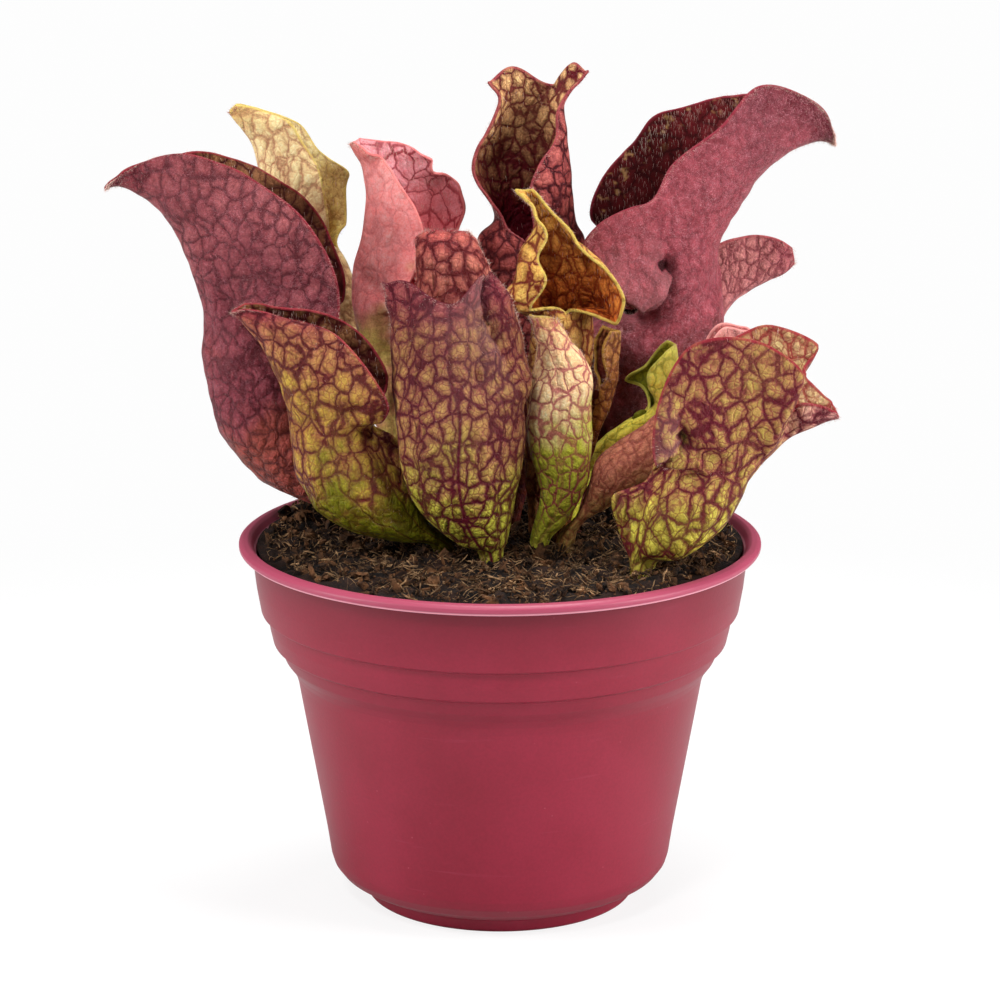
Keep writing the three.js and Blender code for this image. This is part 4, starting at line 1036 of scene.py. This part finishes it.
    # painted shade and light by folds and flaps: the value read here is above 0 where a fold or flap
    # casts shade, painted dark, and below 0 on a flap's raised lip, painted paler as a highlight and
    # partly as its pale down
    for amount, tone in ((0.9, "1E0204"), (-0.15, "D0A8A4")):
        line = n.math("MULTIPLY", n.read("fold_shade_and_light"), amount, clamp=True)
        colour = n.mix(line, colour, srgb(tone))
    roughness = n.fit(grain, 0.2, 0.8, 0.38, 0.6)
    height = n.math("ADD", n.math("MULTIPLY", veins.outputs["Relief"], 0.3 + 0.7 * paint["net"]),
                    n.math("MULTIPLY", grain, 0.35))
    height = n.math("ADD", height, n.math("MULTIPLY", down, 0.8))
    finish_material(n, Base_Color=colour, Roughness=roughness, Normal=n.bump(0.75, 0.0006, height),
                    Subsurface_Weight=0.05, Subsurface_Scale=0.001,
                    Sheen_Weight=0.3 * paint["fuzz"], Sheen_Roughness=0.4, Specular_IOR_Level=0.1)
    return material


def pot_material():
    """Crimson moulded plastic: faint clouding, fine scuffs and specks, painted shade under the lip, the
    lip painted paler as lit from above, with a painted highlight along its lower edge, and a satin
    finish."""
    material, n = new_material("crimson pot plastic")
    place = n.add("ShaderNodeTexCoord").outputs["Object"]
    cloud = n.noise(place, 28.0, 4.0, 0.6)
    colour = n.mix(n.fit(cloud, 0.25, 0.75), srgb("7C1228"), srgb("881A32"))
    fine = n.noise(place, 1400.0, 3.0, 0.6)
    colour = n.overlay(0.25, colour, fine, 0.3, 0.7, 0.4, 0.62)
    speck = n.add("ShaderNodeTexVoronoi", {"Vector": place, "Scale": 210.0}).outputs["Distance"]
    dots = n.fit(speck, 0.02, 0.06, 0.35, 0.0)
    colour = n.mix(dots, colour, srgb("B05A6C"))
    stretched = n.add("ShaderNodeMapping", {"Vector": place, "Scale": (60, 60, 900)}).outputs[0]
    scuff = n.fit(n.noise(stretched, 1.0, 2.0), 0.66, 0.8, 0.0, 0.25)
    colour = n.mix(scuff, colour, srgb("9A3A52"))
    height = n.add("ShaderNodeSeparateXYZ", {0: place}).outputs[2]
    # by height in metres: painted shade growing up to the lip, the lip painted paler as lit from above,
    # and a painted highlight, palest, along its lower edge
    colour = n.mix(n.fit(height, 0.068, 0.082, 0.0, 0.45), colour, srgb("5C0C1E"))
    # painted light: the lip paler, as lit from above
    colour = n.mix(n.fit(height, 0.0828, 0.0832, 0.0, 0.75), colour, srgb("AC4A64"))
    # painted highlight: a pale line along the lip's lower edge
    above_edge = n.fit(height, 0.0829, 0.0831)
    below_edge = n.fit(height, 0.0833, 0.0837, 0.8, 0.0)
    colour = n.mix(n.math("MULTIPLY", above_edge, below_edge), colour, srgb("F0A8B8"))
    rough = n.math("ADD", n.math("MULTIPLY", fine, 0.6), n.math("MULTIPLY", scuff, -0.6))
    finish_material(n, Base_Color=colour, Roughness=n.fit(cloud, 0.2, 0.8, 0.36, 0.46),
                    Normal=n.bump(0.35, 0.0001, rough), Specular_IOR_Level=0.35)
    return material


def peat_material(name, dark, light):
    """Peat: near-black to brown by lump, with a matt, gritty surface."""
    material, n = new_material(name)
    place = n.add("ShaderNodeTexCoord").outputs["Object"]
    lump = n.noise(place, 260.0, 4.0, 0.65)
    grit = n.noise(place, 1900.0, 3.0, 0.6)
    colour = n.mix(n.fit(lump, 0.35, 0.7), srgb(dark), srgb(light))
    colour = n.mix(n.fit(grit, 0.62, 0.8, 0.0, 0.7), colour, srgb("7A5238"))
    rough = n.math("ADD", lump, n.math("MULTIPLY", grit, 0.6))
    finish_material(n, Base_Color=colour, Roughness=0.9, Normal=n.bump(0.9, 0.0006, rough),
                    Specular_IOR_Level=0.25)
    return material


# pot
# The wall's outline as radius and height, from the foot up the outside and down the inside.
POT_OUTSIDE = [
    (30.8, 0), (31.3, 0.6), (32, 3.2), (35, 4.4), (37.5, 6), (39, 8), (39.6, 10), (40.5, 16),
    (45.7, 45.6), (46.8, 52), (47.3, 53.8), (48.2, 55.5), (49.8, 57.6), (50.8, 60),
    (51, 60.7), (52.4, 61.4), (53.2, 65), (53.5, 67.4), (53.6, 68.2), (55.1, 68.8), (56.1, 74.6),
    (57, 82.5), (59.4, 83), (60, 83.7), (60, 84.6), (59.2, 85.2), (57.9, 85.4),
]
POT_INSIDE = [
    (57.2, 84.9), (55.8, 82.4), (54.9, 74.6), (50.9, 61.2), (45.8, 53.4), (39.3, 16), (38.2, 9),
    (36, 6.4), (31, 4), (29, 2),
]
POT_FLOOR = 2.0


def eased_corners(outline):
    """The outline with each corner as a short curve: a parabola between two points that lie
    CORNER_EASE from it, or a quarter of the way, and one more point on each side, a little
    further out, so that the flats beside it stay flat."""
    eased = [outline[0]]
    for before, here, after in zip(outline[:-2], outline[1:-1], outline[2:]):
        back, ahead = before - here, after - here
        back *= min(0.25, CORNER_EASE / np.linalg.norm(back))
        ahead *= min(0.25, CORNER_EASE / np.linalg.norm(ahead))
        curve = [here + (1 - f) ** 2 * back + f ** 2 * ahead for f in (0.0, 0.5, 1.0)]
        eased += [here + 1.8 * back, *curve, here + 1.8 * ahead]
    return np.array([*eased, outline[-1]])


def circle(sides):
    """The angles of that many points on a circle, and the points at radius 1."""
    angle = 2 * math.pi * np.arange(sides) / sides
    return angle, np.stack([np.cos(angle), np.sin(angle)], axis=-1)


def drain_hole(pot, turn):
    """Cuts one round hole through the pot's floor, at that angle on the drain circle."""
    bpy.ops.mesh.primitive_cylinder_add(
        vertices=40, radius=DRAIN_RADIUS * MM, depth=8 * MM,
        location=(DRAIN_CIRCLE * MM * math.cos(turn), DRAIN_CIRCLE * MM * math.sin(turn), MM))
    cutter = bpy.context.object
    cut = pot.modifiers.new("drain", "BOOLEAN")
    cut.object = cutter
    cut.solver = "EXACT"
    bpy.context.view_layer.objects.active = pot
    bpy.ops.object.modifier_apply(modifier=cut.name)
    bpy.data.objects.remove(cutter)


def pot_piece():
    """The pot: its outline of radius and height turned about Z, with round holes in its floor."""
    outline = np.array([(0, 0), *POT_OUTSIDE, *POT_INSIDE, (0, POT_FLOOR)], dtype=float)
    body = eased_corners(outline)[1:-1]
    ring = circle(POT_SIDES)[1]
    heights = np.broadcast_to(body[:, None, 1:], (len(body), POT_SIDES, 1))
    rings = np.concatenate([body[:, None, :1] * ring[None], heights], axis=-1)
    pot = mesh_piece("nursery_pot", *closed_turning(rings, (0, 0, 0), (0, 0, POT_FLOOR)))
    for k in range(DRAIN_HOLES):
        drain_hole(pot, (k + 0.5) * 2 * math.pi / DRAIN_HOLES)
    pot.data.materials.append(pot_material())
    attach(pot, "root")
    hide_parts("pot")


# peat
# The heaps as x, y, height and radius, in mm.
SOIL_HEAPS = [(-44, 24, 4.2, 11), (47, 14, 3.4, 12), (-30, -36, 1, 12), (6, -44, 0.8, 10)]


def peat_height(x, y):
    """The level of the peat: a flat level, heaps that fall off as a bell, and crossed waves."""
    waves = np.sin(0.41 * x + 1.3) * np.cos(0.37 * y) + np.sin(0.29 * (x - y) + 0.7)
    total = SOIL_LEVEL + 0.45 * waves
    for cx, cy, height, radius in SOIL_HEAPS:
        total = total + height * np.exp(-((x - cx) ** 2 + (y - cy) ** 2) / radius ** 2)
    return total


def lattice_noise(x, y, size, seed):
    """Value noise on a square lattice of random numbers, eased between its points."""
    draw = np.random.default_rng(seed)
    table = draw.uniform(-1, 1, (256, 256))
    u, v = x / size + 100, y / size + 100
    i, j = np.floor(u).astype(int), np.floor(v).astype(int)
    f, g = u - i, v - j
    f, g = f * f * (3 - 2 * f), g * g * (3 - 2 * g)

    def at(a, b):
        """The random numbers at those lattice points, repeated past the table's edge."""
        return table[a % 256, b % 256]

    return (at(i, j) * (1 - f) * (1 - g) + at(i + 1, j) * f * (1 - g)
            + at(i, j + 1) * (1 - f) * g + at(i + 1, j + 1) * f * g)


def peat_ground():
    """The peat fill: a closed body that follows the pot's inside, under a rough top. The top's
    height is the peat level plus four octaves of value noise, each half as wide as the one before
    and weaker, and it eases to the rim's level at the wall."""
    wall = np.array([(r - PEAT_GAP, z + PEAT_GAP) for r, z in POT_INSIDE[:0:-1]])
    edge = wall[-1, 0]
    radii = np.concatenate([[edge + 0.4], np.linspace(edge - 0.4, 0.6, 96)])
    angle, ring = circle(PEAT_SIDES)
    r, a = np.meshgrid(radii, angle, indexing="ij")
    x, y = r * np.cos(a), r * np.sin(a)
    z = peat_height(x, y) - 0.6
    for octave, (size, strength) in enumerate(((5.0, 1.0), (2.6, 0.7), (1.3, 0.45), (0.7, 0.2))):
        z = z + strength * lattice_noise(x, y, size, RANDOM_SEED + octave)
    fade = np.clip((edge + 0.4 - r) / 3, 0, 1)
    z = z * fade + (1 - fade) * np.minimum(z, PEAT_RIM)
    top = np.stack([x, y, z], axis=-1)
    heights = np.broadcast_to(wall[:, None, 1:], (len(wall), PEAT_SIDES, 1))
    base = np.concatenate([wall[:, None, :1] * ring[None], heights], axis=-1)
    points, tris = closed_turning(np.concatenate([base, top]), (0, 0, wall[0, 1]),
                                  (0, 0, z[-1].mean()))
    ground = mesh_piece("peat_ground", points, tris)
    ground.data.materials.append(peat_material("dark peat", "080302", "2A1810"))
    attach(ground, "root")
    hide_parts("soil")


def lump_shape(level):
    """A ball of triangles as points and faces: a cube of 12, each split in four level times."""
    corners = np.array([(x, y, z) for x in (-1, 1) for y in (-1, 1) for z in (-1, 1)], dtype=float)
    faces = np.array([(0, 1, 3), (0, 3, 2), (4, 6, 7), (4, 7, 5), (0, 4, 5), (0, 5, 1),
                      (2, 3, 7), (2, 7, 6), (0, 2, 6), (0, 6, 4), (1, 5, 7), (1, 7, 3)])
    points = unit(corners)
    for _ in range(level):
        pairs = np.sort(faces[:, [[0, 1], [1, 2], [2, 0]]].reshape(-1, 2), axis=1)
        lines, where = np.unique(pairs, axis=0, return_inverse=True)
        where = where.reshape(-1, 3) + len(points)
        points = np.vstack([points, unit(points[lines].mean(axis=1))])
        a, b, c = faces.T
        ab, bc, ca = where.T
        faces = np.concatenate([np.stack(f, axis=-1) for f in
                                ((a, ab, ca), (b, bc, ab), (c, ca, bc), (ab, bc, ca))])
    return points, faces


def scatter(draw, count, reach):
    """Random places over the peat, as x and y, spread evenly over a disc of radius reach."""
    radius = reach * np.sqrt(draw.uniform(0, 1, count))
    angle = draw.uniform(0, 2 * math.pi, count)
    return radius * np.cos(angle), radius * np.sin(angle)


def crumb_lumps(draw, count, level, smallest, range_up):
    """Small lumps at random places on the peat, each stretched, turned and roughened at random:
    their points and their triangles. A fifth of them are long woody bits."""
    shape, faces = lump_shape(level)
    x, y = scatter(draw, count, CRUMB_REACH)
    size = smallest + range_up * draw.uniform(0, 1, count) ** 3
    z = peat_height(x, y) + draw.uniform(-0.9, 0.9, count)
    turn = unit(draw.normal(size=(count, 4)))
    w, a, b, c = turn.T
    matrix = np.array([
        [1 - 2 * (b * b + c * c), 2 * (a * b - c * w), 2 * (a * c + b * w)],
        [2 * (a * b + c * w), 1 - 2 * (a * a + c * c), 2 * (b * c - a * w)],
        [2 * (a * c - b * w), 2 * (b * c + a * w), 1 - 2 * (a * a + b * b)]]).transpose(2, 0, 1)
    stretch = draw.uniform(0.4, 1.5, (count, 1, 3))
    woody = draw.uniform(0, 1, count) < 0.2
    stretch[woody, 0] = draw.uniform((0.25, 0.3, 1.8), (0.45, 0.6, 3.4), (woody.sum(), 3))
    rough = draw.uniform(0.5, 1.4, (count, len(shape), 1))
    points = (shape[None] * stretch * rough) @ matrix.transpose(0, 2, 1) * size[:, None, None]
    points += np.stack([x, y, z], axis=-1)[:, None]
    from_middle = np.linalg.norm(points[..., :2], axis=-1, keepdims=True)
    points[..., :2] /= np.maximum(from_middle / PEAT_REACH, 1)
    index = faces[None] + len(shape) * np.arange(count)[:, None, None]
    return points.reshape(-1, 3), index.reshape(-1, 3)


def peat_crumbs():
    """Loose crumbs and woody bits: many fine plain lumps, and fewer large rounder ones."""
    draw = np.random.default_rng(RANDOM_SEED + 20)
    fine, fine_faces = crumb_lumps(draw, 3200, 0, 0.28, 0.4)
    large, large_faces = crumb_lumps(draw, 1400, 1, 0.4, 1.2)
    crumbs = mesh_piece("peat_crumbs", np.concatenate([fine, large]),
                        np.concatenate([fine_faces, large_faces + len(fine)]), smooth=False)
    crumbs.data.materials.append(peat_material("crumbled peat", "080302", "6A462A"))
    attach(crumbs, "root")


def square_to(forward):
    """Two directions square to each given one and to each other."""
    helper = np.where(np.abs(forward[..., 2:]) > 0.8, (1.0, 0.0, 0.0), (0.0, 0.0, 1.0))
    side = unit(np.cross(forward, helper))
    return side, np.cross(forward, side)


def thin_tubes(paths, radius, sides=3):
    """Thin tubes along many paths at once, each with a ring square to the path at every step and
    a flat face over each end. paths is (count, steps, 3) and radius (count, steps)."""
    count, steps = paths.shape[:2]
    side, other = square_to(unit(np.gradient(paths, axis=1)))
    cosine, sine = circle(sides)[1].T[..., None]
    ring = cosine * side[..., None, :] + sine * other[..., None, :]
    points = paths[..., None, :] + ring * radius[..., None, None]
    start = [(0, j + 1, j) for j in range(1, sides - 1)]
    last = (steps - 1) * sides
    end = [(last, last + j, last + j + 1) for j in range(1, sides - 1)]
    tris = np.concatenate([tube_faces(steps, sides), start, end])
    index = tris[None] + steps * sides * np.arange(count)[:, None, None]
    return points.reshape(-1, 3), index.reshape(-1, 3)


def peat_fibres():
    """Fibres in the peat: thin threads that wander sideways over its top and dip into it."""
    draw = np.random.default_rng(RANDOM_SEED + 40)
    count, steps = 3600, 6
    x, y = scatter(draw, count, FIBRE_START_REACH)
    heading = draw.uniform(0, 2 * math.pi, count)
    bend = draw.normal(0, 0.35, (count, steps))
    length = (1.0 + 5.5 * draw.uniform(0, 1, count) ** 2) / steps
    angles = heading[:, None] + np.cumsum(bend, axis=1)
    px = x[:, None] + np.cumsum(np.cos(angles) * length[:, None], axis=1)
    py = y[:, None] + np.cumsum(np.sin(angles) * length[:, None], axis=1)
    far = np.maximum(np.hypot(px, py) / FIBRE_REACH, 1)
    px, py = px / far, py / far
    tilt = draw.normal(0, 0.35, (count, 1)) * np.linspace(-1, 1, steps)[None]
    lift = draw.uniform(-0.3, 1.3, (count, 1)) + length[:, None] * steps * 0.5 * tilt
    pz = peat_height(px, py) + lift + draw.normal(0, 0.08, (count, steps))
    paths = np.stack([px, py, pz], axis=-1)
    thick = 0.05 + 0.22 * draw.uniform(0, 1, (count, 1)) ** 3
    taper = np.array([[0.3, 0.9, 1, 1, 0.9, 0.3]])
    fibres = mesh_piece("peat_fibres", *thin_tubes(paths, thick * taper))
    fibres.data.materials.append(peat_material("peat fibre", "2A180C", "B08A62"))
    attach(fibres, "root")


# down
def leaf_hairs(skins):
    """Short pale hairs: thin three-sided spikes at random points of the leaves' outer skins, closest
    together at their margins, and longer, stouter ones inside the hoods that point down into the
    mouths. A hair's direction is a mix of the skin's own directions with a random lean."""
    draw = np.random.default_rng(RANDOM_SEED + 60)
    starts, ends, widths = [], [], []
    for name, (outer, inner, normal, away) in skins.items():
        down, mouth = LEAVES[name].get("down", 1.0), LEAVES[name].get("mouth", 1.0)
        rows, cols = away.shape
        i, j = np.meshgrid(np.arange(rows), np.arange(cols), indexing="ij")
        above = outer[..., 2] > HAIR_START
        edge = (away < 1.2) & above & (i > rows // 3)
        hood = (away > 0.5) & (i > rows // 2)
        # away from the point three columns nearer the middle, and three rows lower near the tip
        outward = outer - outer[np.maximum(i - 3, 0) * (i > rows - 6) + i * (i <= rows - 6),
                                np.clip(j + 3 * np.sign(cols // 2 - j), 0, cols - 1)]
        outward = unit(outward + 1e-6)
        # the skin, where on it, how many, shortest and longest, their way, how far they lean from
        # it, and how stout they are
        for skin, chosen, count, low, high, way, spread, stout in (
                (outer, edge, 420 * down, 0.4, 1.2, 0.7 * outward - 0.6 * normal, 0.35, 1.0),
                (outer, above, 900 * down, 0.3, 0.6, -0.5 * normal, 0.7, 1.0),
                (inner, hood, 700 * mouth, 0.7, 1.6, 0.2 * normal + (0, 0, -1.0), 0.16, 1.9)):
            where = np.flatnonzero(chosen)
            if len(where) == 0:
                continue
            pick = where[draw.integers(0, len(where), int(count))]
            a, b = pick // cols, pick % cols
            near_a, near_b = np.clip(a + 1, 0, rows - 1), np.clip(b + 1, 0, cols - 1)
            f, g = draw.uniform(0, 1, (len(pick), 1)), draw.uniform(0, 1, (len(pick), 1))
            base = (skin[a, b] * (1 - f) * (1 - g) + skin[near_a, b] * f * (1 - g)
                    + skin[a, near_b] * (1 - f) * g + skin[near_a, near_b] * f * g)
            toward = unit(way[a, b] + draw.normal(0, spread, (len(pick), 3)))
            length = draw.uniform(low, high, (len(pick), 1))
            starts.append(base)
            ends.append(base + toward * length)
            widths.append(stout * (0.01 + 0.012 * length))
    start, end, width = (np.concatenate(v) for v in (starts, ends, widths))
    side, other = square_to(unit(end - start))
    cosine, sine = circle(3)[1].T[..., None]
    ring = start[:, None] + (cosine * side[:, None] + sine * other[:, None]) * width[:, None]
    points = np.concatenate([ring, end[:, None]], axis=1)
    tris = np.array([(0, 1, 3), (1, 2, 3), (2, 0, 3), (0, 2, 1)])
    index = tris[None] + 4 * np.arange(len(points))[:, None, None]
    hairs = mesh_piece("leaf_down", points.reshape(-1, 3), index.reshape(-1, 3), smooth=False)
    material, n = new_material("pale leaf hair")
    tone = n.fit(n.noise(n.add("ShaderNodeTexCoord").outputs["Object"], 90.0), 0.3, 0.7)
    finish_material(n, Base_Color=n.mix(tone, srgb("B87A74"), srgb("E6CCBC")), Roughness=0.45)
    hairs.data.materials.append(material)
    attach(hairs, "root")


# studio
# the camera's place in metres, its turn up from straight down in degrees, and its lens in mm
CAMERA_PLACE = (0, -0.801, 0.2978)
CAMERA_PITCH = 75.7
CAMERA_LENS = 129.6


def area_light(name, place, target, size, watts):
    """A soft box at a place, turned to the target."""
    lamp = bpy.data.lights.new(name, "AREA")
    lamp.shape = "RECTANGLE"
    lamp.size, lamp.size_y = size
    lamp.energy = watts
    holder = bpy.data.objects.new(name, lamp)
    holder.location = place
    direction = np.array(target) - np.array(place)
    flat = math.hypot(direction[0], direction[1])
    heading = math.atan2(-direction[0], direction[1])
    holder.rotation_euler = (math.atan2(flat, -direction[2]), 0, heading)
    bpy.context.scene.collection.objects.link(holder)


def seen_by_camera(n, seen, lit):
    """One shader for what the camera sees, and another for the light that it gives."""
    path = n.add("ShaderNodeLightPath").outputs["Is Camera Ray"]
    return n.add("ShaderNodeMixShader", {0: path, 1: lit, 2: seen}).outputs[0]


def studio():
    """Camera, lights, and a white floor."""
    data = bpy.data.cameras.new("camera")
    data.sensor_width = 36
    data.lens = CAMERA_LENS
    data.clip_start = 0.05
    camera = bpy.data.objects.new("camera", data)
    camera.location = CAMERA_PLACE
    camera.rotation_euler = (math.radians(CAMERA_PITCH), 0, 0)
    bpy.context.scene.collection.objects.link(camera)
    bpy.context.scene.camera = camera
    world = bpy.data.worlds.new("studio")
    world.use_nodes = True
    n = Nodes(world.node_tree)
    seen = n.add("ShaderNodeBackground", {"Color": (0.985, 0.985, 0.985), "Strength": 1.0}).outputs[0]
    lit = n.add("ShaderNodeBackground", {"Color": (1, 1, 1), "Strength": 0.17}).outputs[0]
    n.add("ShaderNodeOutputWorld", {"Surface": seen_by_camera(n, seen, lit)})
    bpy.context.scene.world = world
    area_light("left softbox", (-0.8, -0.3, 0.4), (0, 0, 0.1), (0.3, 0.8), 7.5)
    area_light("right softbox", (0.8, -0.35, 0.35), (0, 0, 0.1), (0.3, 0.8), 11)
    area_light("front key", (-0.3, -0.8, 1.0), (0, 0, 0.15), (0.2, 0.2), 5)
    area_light("top softbox", (0.1, 0.2, 1.0), (0, 0, 0.1), (0.4, 0.4), 7)
    corners = [(FLOOR_REACH * x, FLOOR_REACH * y, 0) for x, y in ((-1, -1), (1, -1), (1, 1), (-1, 1))]
    floor = mesh_piece("floor", corners, [(0, 1, 2, 3)], smooth=False)
    material, n = new_material("white floor")
    paper = n.add("ShaderNodeBsdfDiffuse", {"Color": (0.2, 0.2, 0.2)}).outputs[0]
    glow = n.add("ShaderNodeEmission", {"Color": (1, 1, 1), "Strength": 0.8}).outputs[0]
    near = n.add("ShaderNodeAddShader", {0: paper, 1: glow}).outputs[0]
    even = n.add("ShaderNodeEmission", {"Color": (1, 1, 1), "Strength": 0.985}).outputs[0]
    place = n.add("ShaderNodeTexCoord").outputs["Object"]
    far = n.add("ShaderNodeVectorMath", {0: place}, operation="LENGTH").outputs["Value"]
    bright = n.add("ShaderNodeMixShader", {0: n.fit(far, 0.1, 0.35), 1: near, 2: even}).outputs[0]
    plain = n.add("ShaderNodeBsdfDiffuse", {"Color": (0.6, 0.6, 0.6)}).outputs[0]
    n.add("ShaderNodeOutputMaterial", {"Surface": seen_by_camera(n, bright, plain)})
    floor.data.materials.append(material)
    bpy.context.scene.view_settings.view_transform = "Standard"
    bpy.context.scene.view_settings.look = "None"


studio()
pot_piece()
peat_ground()
peat_crumbs()
peat_fibres()
leaf_hairs({leaf_name: leaf_piece(leaf_name, leaf) for leaf_name, leaf in LEAVES.items()})
